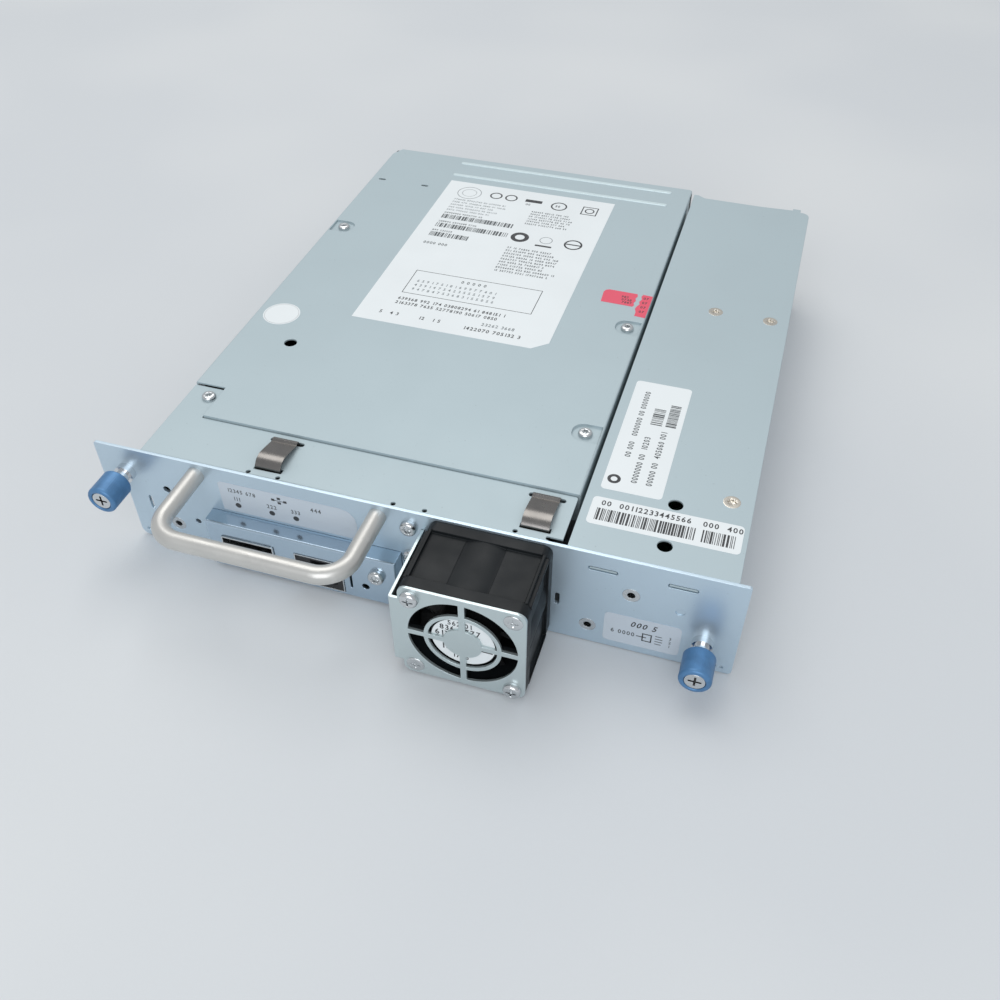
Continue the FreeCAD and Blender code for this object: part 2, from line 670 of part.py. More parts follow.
def drive_cover():
    """The drive's lid: a sheet with skirts, three pressed screw dishes and two beads."""
    body = new_body("drive_cover")
    under = DRIVE_TOP - D.sheet_thick
    relief_right, relief_back = TAB_RIGHT + TAB_GAP, TAB_BACK + TAB_GAP
    skirt_end = D.module_depth - COVER_CORNER_DEPTH
    sheet = Profile(body, "cover_sheet", "XY_Plane", under).outline([
        (relief_right, DRIVE_REAR), (DRIVE_RIGHT, DRIVE_REAR), (DRIVE_RIGHT, D.module_depth, COVER_ROUND),
        (DRIVE_LEFT + COVER_CORNER, D.module_depth), (DRIVE_LEFT, skirt_end), (DRIVE_LEFT, relief_back),
        (relief_right, relief_back)])
    pad(sheet, D.sheet_thick)
    skirts = Profile(body, "cover_skirts", "XY_Plane", DRIVE_TOP - D.cover_flange)
    skirts.rectangle(DRIVE_LEFT, CAST_LEFT, relief_back, skirt_end)
    skirts.rectangle(CAST_RIGHT, DRIVE_RIGHT, CAST_REAR + TAB_GAP, skirt_end)
    skirts.rectangle(relief_right, DRIVE_RIGHT, DRIVE_REAR, CAST_REAR)
    pad(skirts, D.cover_flange - WELD)
    for i, (across, along) in enumerate(LEFT_DISHES, start=1):
        dish(body, f"left_dish_{i}", across, along, CAST_LEFT, -1)
    for i, (across, along) in enumerate(RIGHT_DISHES, start=1):
        dish(body, f"right_dish_{i}", across, along, CAST_RIGHT, 1)
    holes = Profile(body, "cover_holes", "XY_Plane", under - DISH_DEPTH - THROUGH)
    for across, along in LEFT_DISHES + RIGHT_DISHES:
        holes.circle(across, along, COVER_CLEARANCE_DIA / 2)
    holes.circle(VIEW_HOLE[0], VIEW_HOLE[1], VIEW_HOLE[2] / 2)
    for across, along in LANCE_SLOTS:
        holes.slot(across, along, LANCE_LENGTH, LANCE_WIDTH)
    pocket(holes, D.sheet_thick + DISH_DEPTH + 2 * THROUGH)
    beads = Profile(body, "cover_beads", "XY_Plane", DRIVE_TOP)
    for along in BEADS:
        beads.slot(DRIVE_MIDDLE + 13.4, along, BEAD_LENGTH, BEAD_WIDTH)
    pad(beads, BEAD_HEIGHT)
    dress("Fillet", body, D.sheet_thick * 0.75, lambda edge: runs_along(edge, Vector(0, 1, 0))
          and edge.Length > 8 and abs(edge.CenterOfMass.z - DRIVE_TOP.value) < 0.01
          and abs(edge.CenterOfMass.x - DRIVE_MIDDLE.value) > D.drive_width.value / 2 - 0.1)
    keep(body, "drive_cover")


def cover_screws():
    spots = [(across, along, DRIVE_TOP - DISH_DEPTH) for across, along in LEFT_DISHES + RIGHT_DISHES]
    spots.append((*TAB_SCREW, BOX_TOP))
    screws = [screw(f"cover_screw_{i}", "z", spot, M25_HEAD, M25_HEIGHT, M25_SHANK, M25_LENGTH, towards=-1)
              for i, spot in enumerate(spots, start=1)]
    keep(group("cover_screw_group", screws), "cover_screws")


CLIP_WIDTH, CLIP_THICK, CLIP_GAP = 9.1, 0.3, 0.4
CLIP_LEFTS = (DRIVE_LEFT + 40.9, DRIVE_LEFT + 131.8)
CLIP_FOOT, CLIP_HOOK = 4.6, 19.4
CLIP_REACH = 1.6
RELIEF_DIA, RELIEF_STEP = 1.6, 5.3
RELIEF_MIDDLES = (DRIVE_LEFT + 44.9, DRIVE_LEFT + 95.7, DRIVE_LEFT + 136.0)


def rear_cover():
    """The strip between the panel and the lid, with its screw tab, clip slots and bend reliefs."""
    body = new_body("rear_cover")
    under = BOX_TOP - D.sheet_thick
    right = DRIVE_RIGHT - 0.5
    notch_left, notch_back = right - 4.2, PANEL_BACK + 1.8
    sheet = Profile(body, "rear_sheet", "XY_Plane", under).outline([
        (DRIVE_LEFT, PANEL_BACK), (notch_left, PANEL_BACK), (notch_left, notch_back), (right, notch_back),
        (right, D.rear_section_depth, 1.0), (TAB_RIGHT, D.rear_section_depth), (TAB_RIGHT, TAB_BACK),
        (DRIVE_LEFT, TAB_BACK)])
    pad(sheet, D.sheet_thick)
    foot = D.tray_wall_height + THROUGH
    side = Profile(body, "rear_side", "XY_Plane", foot)
    side.rectangle(DRIVE_LEFT, CAST_LEFT, PANEL_BACK, DRIVE_REAR - 0.5)
    pad(side, under - foot + WELD)
    cuts = Profile(body, "rear_cuts", "XY_Plane", under - THROUGH)
    cuts.circle(*TAB_SCREW, COVER_CLEARANCE_DIA / 2)
    for middle in RELIEF_MIDDLES:
        for step in (-RELIEF_STEP, RELIEF_STEP):
            cuts.circle(middle + step, PANEL_BACK + 1.1, RELIEF_DIA / 2)
    for left in CLIP_LEFTS:
        cuts.rectangle(left - CLIP_GAP, left + CLIP_WIDTH + CLIP_GAP, CLIP_FOOT - CLIP_GAP, CLIP_FOOT + 1.8)
        cuts.slot(left + CLIP_WIDTH / 2, CLIP_HOOK, CLIP_WIDTH + 3.2, 1.8)
    pocket(cuts, D.sheet_thick + 2 * THROUGH)
    keep(body, "rear_cover")


def emi_clip(node, left):
    """A bent spring strip: its feet hook under the sheet through two slots and it humps above."""
    body = new_body(node)
    foot, back, hump = CLIP_FOOT, CLIP_HOOK - 0.1, CLIP_FOOT + 4.0
    thick = CLIP_THICK
    upper = [(foot, -CLIP_REACH), (foot, 0.9), (foot + 1.6, 2.5), (hump, 3.1), (hump + 2.4, 2.7),
             (back - 2.1, 1.3), (back - 1.3, 1.9), (back - 0.3, 1.6), (back, 0.2), (back - 0.3, -CLIP_REACH)]
    lower = [(back - 0.3 - thick, -CLIP_REACH), (back - thick, 0.15), (back - 0.5, 1.35),
             (back - 1.3, 1.9 - thick), (back - 2.1, 1.3 - thick), (hump + 2.4, 2.7 - thick),
             (hump, 3.1 - thick), (foot + 1.7, 2.5 - thick), (foot + thick, 0.8), (foot + thick, -CLIP_REACH)]
    side = Profile(body, f"{node}_side", "YZ_Plane", left)
    side.outline([(along, BOX_TOP + rise) for along, rise in upper + lower])
    pad(side, CLIP_WIDTH)
    keep(body, node)


BOX_SCREWS = ((BOX_LEFT + 23.9, sized(140.6)), (BOX_RIGHT - 7.1, sized(140.2)),
              (BOX_RIGHT - 7.1, sized(34.8)))
BOX_HOLES = ((BOX_LEFT + 28.3, 28.3), (BOX_LEFT + 28.3, 9.6))
BOX_HOLE_DIA, BOX_LIP_HEIGHT, BOX_WALL_INSET = 4.8, 11.0, 8.0


def side_box_cover():
    """The side box's lid, with its left wall, a front lip and two tabs that hook into the panel."""
    body = new_body("side_box_cover")
    under = BOX_TOP - D.sheet_thick
    finger, ledge = BOX_RIGHT - 4.0, BOX_RIGHT - 7.4
    sheet = Profile(body, "box_sheet", "XY_Plane", under).outline([
        (BOX_LEFT, PANEL_BACK), (BOX_RIGHT, PANEL_BACK), (BOX_RIGHT, BOX_BACK - 1.2, 3.4),
        (finger, BOX_BACK - 1.2), (finger, BOX_BACK + 1.4), (ledge, BOX_BACK + 1.4), (ledge, BOX_BACK),
        (BOX_RIGHT - 22, BOX_BACK - 0.8),
        (BOX_LEFT + 5, BOX_BACK - 0.4), (BOX_LEFT + 2, BOX_BACK + 1.6), (BOX_LEFT, BOX_BACK + 1.6)])
    pad(sheet, D.sheet_thick)
    wall = Profile(body, "box_left_wall", "XY_Plane", D.tray_thick)
    wall.rectangle(BOX_LEFT, BOX_LEFT + D.sheet_thick, PANEL_BACK, BOX_BACK - BOX_WALL_INSET)
    pad(wall, BOX_TOP - D.tray_thick - WELD)
    lip = Profile(body, "box_front_lip", "XZ_Plane", PANEL_BACK)
    lip.rectangle(BOX_LEFT, BOX_RIGHT - 4, BOX_TOP - BOX_LIP_HEIGHT, BOX_TOP - WELD)
    pad(lip, D.sheet_thick)
    tabs = Profile(body, "box_tabs", "XZ_Plane", 0.2)
    for across, level in TAB_SLOTS:
        tabs.rectangle(across - TAB_LENGTH / 2, across + TAB_LENGTH / 2, level - 0.5, level - 0.5 + TAB_THICK)
    pad(tabs, D.panel_thick + 0.4)
    cuts = Profile(body, "box_holes", "XY_Plane", under - THROUGH)
    for across, along in BOX_HOLES:
        cuts.circle(across, along, BOX_HOLE_DIA / 2)
    pocket(cuts, D.sheet_thick + 2 * THROUGH)
    for i, (across, along) in enumerate(BOX_SCREWS, start=1):
        countersink(body, f"box_seat_{i}", across, along, BOX_TOP, -1)
    keep(body, "side_box_cover")


# ---------------------------------------------------------------- Connectors behind the panel

SAS_MIDDLE, SAS_LEVEL = D.bracket_left + 15.0, 12.6
SAS_WIDTH, SAS_HEIGHT, SAS_DEPTH, SAS_WALL = 19.6, 7.6, 15.0, 0.5
LAN_MIDDLE = D.bracket_left + 41.0
LAN_WIDTH, LAN_HEIGHT, LAN_DEPTH, LAN_WALL = 17.6, 14.0, 15.5, 0.4
LAN_FOOT = BRACKET_FOOT + D.bracket_thick + HOLE_GAP
PLUG_WIDTH, PLUG_DEPTH, LATCH_WIDTH = 12.0, 11.5, 6.0
BRACKET_FRONT = -D.bracket_reach
FACE_SCREW = (BRACKET_RIGHT - 6.8, 14.2)
FACE_HOLE = (BRACKET_RIGHT - 11.4, 7.4, 2.6)
FACE_SLOT = (BRACKET_RIGHT - 16.6, 8.8, 7.2, 0.8)
CARD_FRONT, CARD_RIM = 9.4, 4.0


def connector_bracket():
    """The box pushed through the panel, open behind, with a flange that stops on the panel's back."""
    body = new_body("connector_bracket")
    left, top, wall = D.bracket_left, D.bracket_top, D.bracket_thick
    depth = PANEL_BACK + wall - BRACKET_FRONT
    shell = Profile(body, "bracket_shell", "XZ_Plane", BRACKET_FRONT)
    shell.rectangle(left, BRACKET_RIGHT, BRACKET_FOOT, top)
    pad(shell, depth)
    outer, rim, end = left - D.bracket_flange, top + D.bracket_flange - 0.6, BRACKET_RIGHT - 4
    flange = Profile(body, "bracket_flange", "XZ_Plane", PANEL_BACK).outline([
        (outer, BRACKET_FOOT + 1), (left + 1, BRACKET_FOOT + 1), (left + 1, top - 1), (end, top - 1),
        (end, rim), (outer, rim)])
    pad(flange, wall)
    hollow = Profile(body, "bracket_hollow", "XZ_Plane", BRACKET_FRONT + wall)
    hollow.rectangle(left + wall, BRACKET_RIGHT - wall, BRACKET_FOOT + wall, top - wall)
    pocket(hollow, depth)
    face = Profile(body, "bracket_face", "XZ_Plane", BRACKET_FRONT - THROUGH)
    face.rectangle(SAS_MIDDLE - SAS_WIDTH / 2, SAS_MIDDLE + SAS_WIDTH / 2,
                   SAS_LEVEL - SAS_HEIGHT / 2, SAS_LEVEL + SAS_HEIGHT / 2, 0.8)
    face.rectangle(LAN_MIDDLE - LAN_WIDTH / 2, LAN_MIDDLE + LAN_WIDTH / 2,
                   LAN_FOOT - HOLE_GAP, LAN_FOOT - HOLE_GAP + LAN_HEIGHT)
    face.circle(*FACE_SCREW, M3_SHANK / 2 + HOLE_GAP)
    face.circle(FACE_HOLE[0], FACE_HOLE[1], FACE_HOLE[2] / 2)
    face.slot(*FACE_SLOT, upright=True)
    pocket(face, wall + 2 * THROUGH)
    dress("Fillet", body, wall * 0.7, lambda edge: abs(edge.CenterOfMass.y - BRACKET_FRONT.value) < 1e-6
          and edge.Length > top.value - BRACKET_FOOT.value - 1
          and edge.CenterOfMass.z > BRACKET_FOOT.value + 1)
    keep(body, "connector_bracket")


def sas_receptacle():
    """A shielded data socket: a thin shell, and a moulded insert with the contact blade."""
    front, wall = BRACKET_FRONT - 0.6, SAS_WALL
    left, right = SAS_MIDDLE - SAS_WIDTH / 2 + HOLE_GAP, SAS_MIDDLE + SAS_WIDTH / 2 - HOLE_GAP
    low, high = SAS_LEVEL - SAS_HEIGHT / 2 + HOLE_GAP, SAS_LEVEL + SAS_HEIGHT / 2 - HOLE_GAP
    inner = (left + wall, right - wall, low + wall, high - wall)
    body = new_body("sas_shell")
    pad(Profile(body, "sas_outer", "XZ_Plane", front).rectangle(left, right, low, high, 0.8), SAS_DEPTH)
    pocket(Profile(body, "sas_inner", "XZ_Plane", front).rectangle(*inner), SAS_DEPTH + THROUGH)
    keep(body, "sas_shell")
    seat = front + 8.5
    insert = block("sas_insert_block", inner[:2], (seat, front + SAS_DEPTH), inner[2:])
    blade = block("sas_blade", (left + 3, right - 3), (seat - 3.9, seat + 0.1),
                  (SAS_LEVEL - 0.5, SAS_LEVEL + 0.5))
    keep(fuse("sas_insert", [insert, blade]), "sas_insert")


def ethernet_jack():
    """A network socket: a folded shield around a moulded insert, open to the front."""
    front, wall = BRACKET_FRONT - 0.3, LAN_WALL
    back = front + LAN_DEPTH
    left, right = LAN_MIDDLE - LAN_WIDTH / 2 + HOLE_GAP, LAN_MIDDLE + LAN_WIDTH / 2 - HOLE_GAP
    high = LAN_FOOT + LAN_HEIGHT - 2 * HOLE_GAP
    across, upright = (left + wall, right - wall), (LAN_FOOT + wall, high - wall)
    shield = block("lan_shield_block", (left, right), (front, back), (LAN_FOOT, high))
    hollow = block("lan_shield_hollow", across, (front - THROUGH, back - wall), upright)
    keep(cut("ethernet_shield", shield, [hollow]), "ethernet_shield")
    insert = block("lan_insert_block", across, (front + 0.4, back - wall), upright)
    depth = (front - THROUGH, front + PLUG_DEPTH)
    socket = block("lan_socket", (LAN_MIDDLE - PLUG_WIDTH / 2, LAN_MIDDLE + PLUG_WIDTH / 2), depth,
                   (LAN_FOOT + 2.4, LAN_FOOT + 9.4))
    latch = block("lan_latch_slot", (LAN_MIDDLE - LATCH_WIDTH / 2, LAN_MIDDLE + LATCH_WIDTH / 2), depth,
                  (LAN_FOOT + 9.3, LAN_FOOT + 12.2))
    keep(cut("ethernet_insert", insert, [socket, latch]), "ethernet_insert")


def light_pipes():
    pipes = [rod(f"light_pipe_{i}", "y", (across, 0.2, LED_LEVEL), LED_DIA / 2, CARD_FRONT - 0.2)
             for i, across in enumerate(LED_SPOTS, start=1)]
    keep(group("light_pipe_group", pipes), "light_pipes")


def connector_card():
    """The upright card behind the bracket that carries both sockets and the status lights."""
    card = block("connector_card", (D.bracket_left + 3, BRACKET_RIGHT - 3),
                 (sized(CARD_FRONT), CARD_FRONT + D.board_thick), (D.tray_thick + 0.6, LED_LEVEL + CARD_RIM))
    keep(card, "connector_card")


def bracket_screws():
    spots = [(BRACKET_SCREW_ACROSS, 0, level) for level in BRACKET_SCREW_LEVELS]
    spots.append((FACE_SCREW[0], BRACKET_FRONT, FACE_SCREW[1]))
    screws = [screw(f"bracket_screw_{i}", "y", spot, M3_HEAD, M3_HEIGHT, M3_SHANK, PANEL_SCREW_LENGTH)
              for i, spot in enumerate(spots, start=1)]
    keep(group("bracket_screw_group", screws), "bracket_screws")


# ---------------------------------------------------------------- Handle

HANDLE_BORE = 9.0
HANDLE_HEAD, HANDLE_HEAD_HEIGHT = 7.0, 2.4


def handle():
    """A rod bent twice, its feet flat on the panel and bored for the two screws behind it."""
    body = new_body("handle")
    bend = D.handle_bend
    reach = -D.handle_reach
    left, right = D.handle_left, HANDLE_RIGHT
    path = Profile(body, "handle_path", "XY_Plane", D.handle_level)
    elbows = ((left, reach + bend), (left + bend, reach)), ((right - bend, reach), (right, reach + bend))
    legs = [path.line((left, 0), elbows[0][0]), path.line(elbows[0][1], elbows[1][0]),
            path.line(elbows[1][1], (right, 0))]
    for number, (start, finish) in enumerate(elbows):
        centre = (left + bend if number == 0 else right - bend, reach + bend)
        item, radius = path.arc((legs[number], 2, start), (legs[number + 1], 1, finish), centre, bend)
        path.fix(Sketcher.Constraint("Radius", item, radius.value), radius)
    section = Profile(body, "handle_section", "XZ_Plane").circle(left, D.handle_level, D.handle_rod / 2)
    pipe = body.newObject("PartDesign::AdditivePipe", "handle_pipe")
    pipe.Profile = section.sketch
    pipe.Spine = (path.sketch, [])
    doc.recompute()
    bores = Profile(body, "handle_bores", "XZ_Plane")
    for across in (left, right):
        bores.circle(across, D.handle_level, D.handle_screw / 2)
    pocket(bores, HANDLE_BORE, towards=-1)
    keep(body, "handle")


def handle_screws():
    screws = [screw(f"handle_screw_{i}", "y", (across, PANEL_BACK, D.handle_level), HANDLE_HEAD,
                    HANDLE_HEAD_HEIGHT, D.handle_screw, PANEL_BACK + HANDLE_BORE - 1, towards=-1)
              for i, across in enumerate((D.handle_left, HANDLE_RIGHT), start=1)]
    keep(group("handle_screw_group", screws), "handle_screws")


# ---------------------------------------------------------------- Captive screws

THREAD_DIA, THREAD_LENGTH, THREAD_POINT = 4.0, 4.4, 0.6
KNOB_BORE, KNOB_FACE_BEVEL, KNOB_REAR_BEVEL = 7.2, 0.9, 0.5
CORE_LENGTH, WASHER_THICK = 2.0, 0.5
HEAD_INSET, HEAD_THICK, HEAD_GAP = 1.2, 0.9, 0.05
HEAD_RADIUS = THREAD_DIA / 2 + 1.35
COLLAR_THICK, FLARE = 2.4, 0.6
SPRING_WIRE, SPRING_TURNS, SPRING_GAP = 0.4, 4, 0.25
SEAT_GAP = 0.02


def captive_screw(side, across, level):
    """A spring-loaded knob and screw held in a ferrule that is pressed into the panel."""
    neck = D.shank_dia / 2
    bore = neck + D.running_gap
    sleeve_end = -D.ferrule_length
    face = -D.knob_face_reach
    rear = face + D.knob_length
    seat = face + HEAD_INSET
    core_end = seat + CORE_LENGTH
    washer_end = core_end + WASHER_THICK
    flare = PANEL_BACK + FLARE
    ferrule = turned_along_y(f"{side}_ferrule", across, level, [
        (bore, sleeve_end), (D.ferrule_dia / 2, sleeve_end), (D.ferrule_dia / 2, -COLLAR_THICK),
        (D.ferrule_collar_dia / 2, -COLLAR_THICK), (D.ferrule_collar_dia / 2, 0), (FERRULE_NECK / 2, 0),
        (FERRULE_NECK / 2, flare), (bore, flare)])
    keep(ferrule, f"{side}_ferrule")
    rim, pocket_radius = D.knob_dia / 2, HEAD_RADIUS + HEAD_GAP
    knob = turned_along_y(f"{side}_knob", across, level, [
        (neck, seat), (pocket_radius, seat), (pocket_radius, face), (rim - KNOB_FACE_BEVEL, face),
        (rim, face + KNOB_FACE_BEVEL), (rim, rear - KNOB_REAR_BEVEL), (rim - KNOB_REAR_BEVEL, rear),
        (KNOB_BORE / 2, rear), (KNOB_BORE / 2, core_end), (neck, core_end)])
    keep(knob, f"{side}_knob")
    thread, tip = flare + 0.3, flare + 0.3 + THREAD_LENGTH
    shank = turned_along_y(f"{side}_captive_screw", across, level, [
        (0, seat - HEAD_THICK), (HEAD_RADIUS, seat - HEAD_THICK), (HEAD_RADIUS, seat), (neck, seat),
        (neck, thread), (THREAD_DIA / 2, thread), (THREAD_DIA / 2, tip - THREAD_POINT),
        (THREAD_DIA / 2 - THREAD_POINT, tip), (0, tip)])
    keep(shank, f"{side}_captive_screw")
    washer_rim = KNOB_BORE / 2 - 0.2
    washer = turned_along_y(f"{side}_spring_washer", across, level, [
        (bore, core_end + HEAD_GAP), (washer_rim, core_end + HEAD_GAP), (washer_rim, washer_end),
        (bore, washer_end)])
    keep(washer, f"{side}_spring_washer")
    start = (sized(across), washer_end + SEAT_GAP, sized(level))
    coil_dia = D.shank_dia + SPRING_WIRE + 2 * SPRING_GAP
    spring = coil_spring(f"{side}_knob_spring", "y", start, sleeve_end - washer_end - 2 * SEAT_GAP,
                         coil_dia, SPRING_WIRE, SPRING_TURNS)
    keep(spring, f"{side}_knob_spring")


# ---------------------------------------------------------------- Fan

SPIDER_THICK = 1.6
BARREL_WALL_INSET = 0.4
FIN_START, FIN_INNER, FIN_OUTER = 6.4, 2.2, 1.2
FAN_ROUND = 3.0
BLADES, BLADE_ROOT = 7, 0.84
FAN_SHAFT = 1.0
FAN_CORNERS = ((-1, -1), (1, -1), (1, 1), (-1, 1))
FAN_HEAD, FAN_PAN_HEIGHT, FAN_FLAT_HEIGHT, FAN_SCREW_LENGTH = 6.4, 2.0, 0.5, 5.4


def fan_windows(profile, outer, inner, half):
    """The ring sectors between four square spokes, one quarter of them."""
    reach = [(outer * outer - half * half).root(), (inner * inner - half * half).root()]
    corners = [(half, reach[1]), (half, reach[0]), (reach[0], half), (reach[1], half)]
    uprights = profile.line(corners[0], corners[1])
    level = profile.line(corners[2], corners[3])
    ends = (uprights, 2, corners[1]), (level, 1, corners[2])
    item, radius = profile.arc(*ends, (0, 0), outer, clockwise=True)
    profile.fix(Sketcher.Constraint("Radius", item, radius.value), radius)
    ends = (level, 2, corners[3]), (uprights, 1, corners[0])
    item, radius = profile.arc(*ends, (0, 0), inner)
    profile.fix(Sketcher.Constraint("Radius", item, radius.value), radius)


def fan_housing():
    """A square fan frame: two flanges, a round barrel between them, corner fins and a front spider."""
    body = new_body("fan_housing")
    centre = (FAN_ACROSS, FAN_LEVEL)
    half, bore = D.fan_size / 2, D.fan_bore / 2
    between = D.fan_depth - 2 * D.fan_flange
    frame = Profile(body, "fan_block", "XZ_Plane", FAN_FRONT, centre)
    frame.rectangle(-half, half, -half, half, FAN_ROUND)
    pad(frame, D.fan_depth)
    waist = Profile(body, "fan_waist", "XZ_Plane", FAN_FRONT + D.fan_flange, centre)
    waist.rectangle(-half - 1, half + 1, -half - 1, half + 1)
    waist.circle(0, 0, half - BARREL_WALL_INSET)
    pocket(waist, between)
    inner, outer = half - FIN_INNER, half - FIN_OUTER
    fin = Profile(body, "fan_fin", "XZ_Plane", FAN_FRONT + D.fan_flange - WELD, centre)
    fin.outline([(inner, FIN_START), (outer, FIN_START), (outer, inner), (half, inner), (half, outer),
                 (outer, outer), (outer, half), (inner, half), (inner, outer), (FIN_START, outer),
                 (FIN_START, inner), (inner, inner)])
    around(body, pad(fin, between + 2 * WELD), fin, 4, "N_Axis")
    duct = Profile(body, "fan_duct", "XZ_Plane", FAN_FRONT + SPIDER_THICK, centre).circle(0, 0, bore)
    pocket(duct, D.fan_depth)
    mouth = Profile(body, "fan_mouth", "XZ_Plane", FAN_FRONT - THROUGH, centre)
    fan_windows(mouth, bore, D.fan_hub / 2, D.guard_spoke / 2)
    around(body, pocket(mouth, SPIDER_THICK + 2 * THROUGH), mouth, 4, "N_Axis")
    bearing = Profile(body, "fan_bearing", "XZ_Plane", FAN_FRONT + 0.5, centre)
    bearing.circle(0, 0, FAN_SHAFT + D.running_gap)
    pocket(bearing, SPIDER_THICK)
    screws = Profile(body, "fan_screw_holes", "XZ_Plane", FAN_FRONT - THROUGH, centre)
    reach = D.fan_pitch / 2
    for x, z in FAN_CORNERS:
        screws.circle(x * reach, z * reach, M3_SHANK / 2)
    pocket(screws, D.fan_depth + 2 * THROUGH)
    keep(body, "fan_housing")


def fan_rotor():
    """The hub on its shaft, with seven curved blades that clear the duct."""
    front = FAN_FRONT + SPIDER_THICK + 0.5
    back = FAN_BACK - 6.0
    shaft_end = FAN_FRONT + 0.7
    hub, bevel = D.fan_hub / 2, 0.8
    body = new_body("fan_rotor")
    section = Profile(body, "rotor_section", "XY_Plane", FAN_LEVEL, (FAN_ACROSS, 0)).outline([
        (0, shaft_end), (FAN_SHAFT, shaft_end), (FAN_SHAFT, front), (hub, front), (hub, back - bevel),
        (hub - bevel, back), (0, back)])
    revolve(section)
    root = hub * BLADE_ROOT
    middle = (front + back) / 2
    convex = [(-4.6, -6.6), (-3.2, -7.0), (0.9, -2.6), (3.2, 2.4), (4.6, 7.0)]
    hollow = [(3.2, 6.6), (1.6, 2.8), (-0.8, -1.6)]
    lift = Profile(body, "rotor_blade", "XY_Plane", FAN_LEVEL + root, (FAN_ACROSS, 0))
    lift.outline([(across, middle + along) for across, along in convex + hollow])
    blade = pad(lift, D.fan_bore / 2 - D.blade_gap - root - 0.4)
    around(body, blade, section, BLADES, "V_Axis")
    keep(body, "fan_rotor")


def fan_bracket():
    """The sheet that carries the fan: a guard over its face and a side plate back through the panel."""
    body = new_body("fan_bracket")
    half = D.fan_size / 2
    left, right = FAN_LEFT, FAN_ACROSS + half
    low, high = FAN_LEVEL - half, FAN_LEVEL + half
    face = Profile(body, "guard_face", "XZ_Plane", GUARD_FRONT).outline([
        (left, low, FAN_ROUND), (right, low, FAN_ROUND), (right, high, FAN_ROUND), (left, high, FAN_ROUND),
        (left, GUARD_SHOULDER), (SIDE_PLATE, GUARD_SHOULDER), (SIDE_PLATE, GUARD_FOOT), (left, GUARD_FOOT)])
    pad(face, D.guard_thick)
    plate = Profile(body, "guard_side", "XZ_Plane", GUARD_FRONT)
    plate.rectangle(SIDE_PLATE, SIDE_PLATE + D.guard_thick, GUARD_FOOT, GUARD_SHOULDER)
    pad(plate, PANEL_BACK + D.guard_thick - GUARD_FRONT)
    flange = Profile(body, "guard_flange", "XZ_Plane", PANEL_BACK)
    flange.rectangle(BRACKET_RIGHT + 0.3, SIDE_PLATE + D.guard_thick, GUARD_FOOT, D.panel_height - 3, 0.5)
    pad(flange, D.guard_thick)
    centre = (FAN_ACROSS, FAN_LEVEL)
    for name, outer, inner in (("guard_outer", D.guard_slot_outer / 2, D.guard_slot_inner / 2),
                               ("guard_inner", D.guard_ring_inner / 2, D.guard_disc / 2)):
        window = Profile(body, name, "XZ_Plane", GUARD_FRONT - THROUGH, centre)
        fan_windows(window, outer, inner, D.guard_spoke / 2)
        around(body, pocket(window, D.guard_thick + 2 * THROUGH), window, 4, "N_Axis")
    holes = Profile(body, "guard_holes", "XZ_Plane", GUARD_FRONT - THROUGH)
    reach = D.fan_pitch / 2
    for x, z in FAN_CORNERS:
        holes.circle(FAN_ACROSS + x * reach, FAN_LEVEL + z * reach, M3_SHANK / 2)
    for level in BRACKET_SCREW_LEVELS:
        holes.circle(BRACKET_SCREW_ACROSS, level, M3_SHANK / 2)
    pocket(holes, PANEL_BACK + D.guard_thick - GUARD_FRONT + 2 * THROUGH)
    dress("Fillet", body, D.guard_thick * 0.8, lambda edge: runs_along(edge, Vector(0, 0, 1))
          and abs(edge.CenterOfMass.x - SIDE_PLATE.value) < 1e-6
          and abs(edge.CenterOfMass.y - GUARD_FRONT.value) < 1e-6)
    keep(body, "fan_bracket")


def fan_screws():
    """Two pan heads on one diagonal of the guard and two flat heads on the other."""
    reach = D.fan_pitch / 2
    for kind, height, rise in (("pan", FAN_PAN_HEIGHT, -1), ("flat", FAN_FLAT_HEIGHT, 1)):
        screws = []
        for side in (-1, 1):
            spot = (FAN_ACROSS + side * reach, GUARD_FRONT, FAN_LEVEL + side * rise * reach)
            name = f"fan_{kind}_screw_{'left' if side < 0 else 'right'}"
            screws.append(screw(name, "y", spot, FAN_HEAD, height, M3_SHANK, FAN_SCREW_LENGTH))
        keep(group(f"fan_{kind}_screw_group", screws), f"fan_{kind}_screws")


# ---------------------------------------------------------------- Tape drive: shared places

BOARD_LEVEL = 4.0
SUPPLY_CAN, CHUCK_DIA = 36.0, 26.0
CARRIER_LEFT = BAY_LEFT - D.carrier_wall
CARRIER_RIGHT = BAY_RIGHT + D.carrier_wall
CARRIER_BACK = CARTRIDGE_NOSE + 2.0
CARRIER_FLOOR = D.bay_floor - D.carrier_wall
RACK_MODULE, PINION_TEETH = 0.8, 14
RACK_PITCH = math.pi * RACK_MODULE
PINION_RADIUS = RACK_MODULE * PINION_TEETH / 2
ADDENDUM, DEDENDUM = RACK_MODULE * 0.9, RACK_MODULE * 1.2
RACK_LINE = CARRIER_LEFT - 1.6
RACK_LEVEL, RACK_THICK, RACK_LENGTH = DECK_TOP + 8.2, 4.0, 50.0
PINION_X, PINION_Y = RACK_LINE - PINION_RADIUS, CARRIER_BACK + 44
PINION_SHAFT, LOAD_MOTOR_DIA = 2.0, 14.0
DOOR_PIN_Y, DOOR_PIN_LEVEL = BEZEL_BACK - 1.5, BAY_TOP + 1.7
ROLLERS = tuple((DRIVE_LEFT + across, sized(along)) for across, along in
                ((13.6, 121.0), (16.6, 111.0), (16.6, 91.0), (13.6, 81.0)))
ROLLER_FOOT = REEL_FOOT + 0.4
HEAD_SPOT = (DRIVE_LEFT + 9.6, sized(101.0))


# ---------------------------------------------------------------- Tape drive: casting, boards, covers

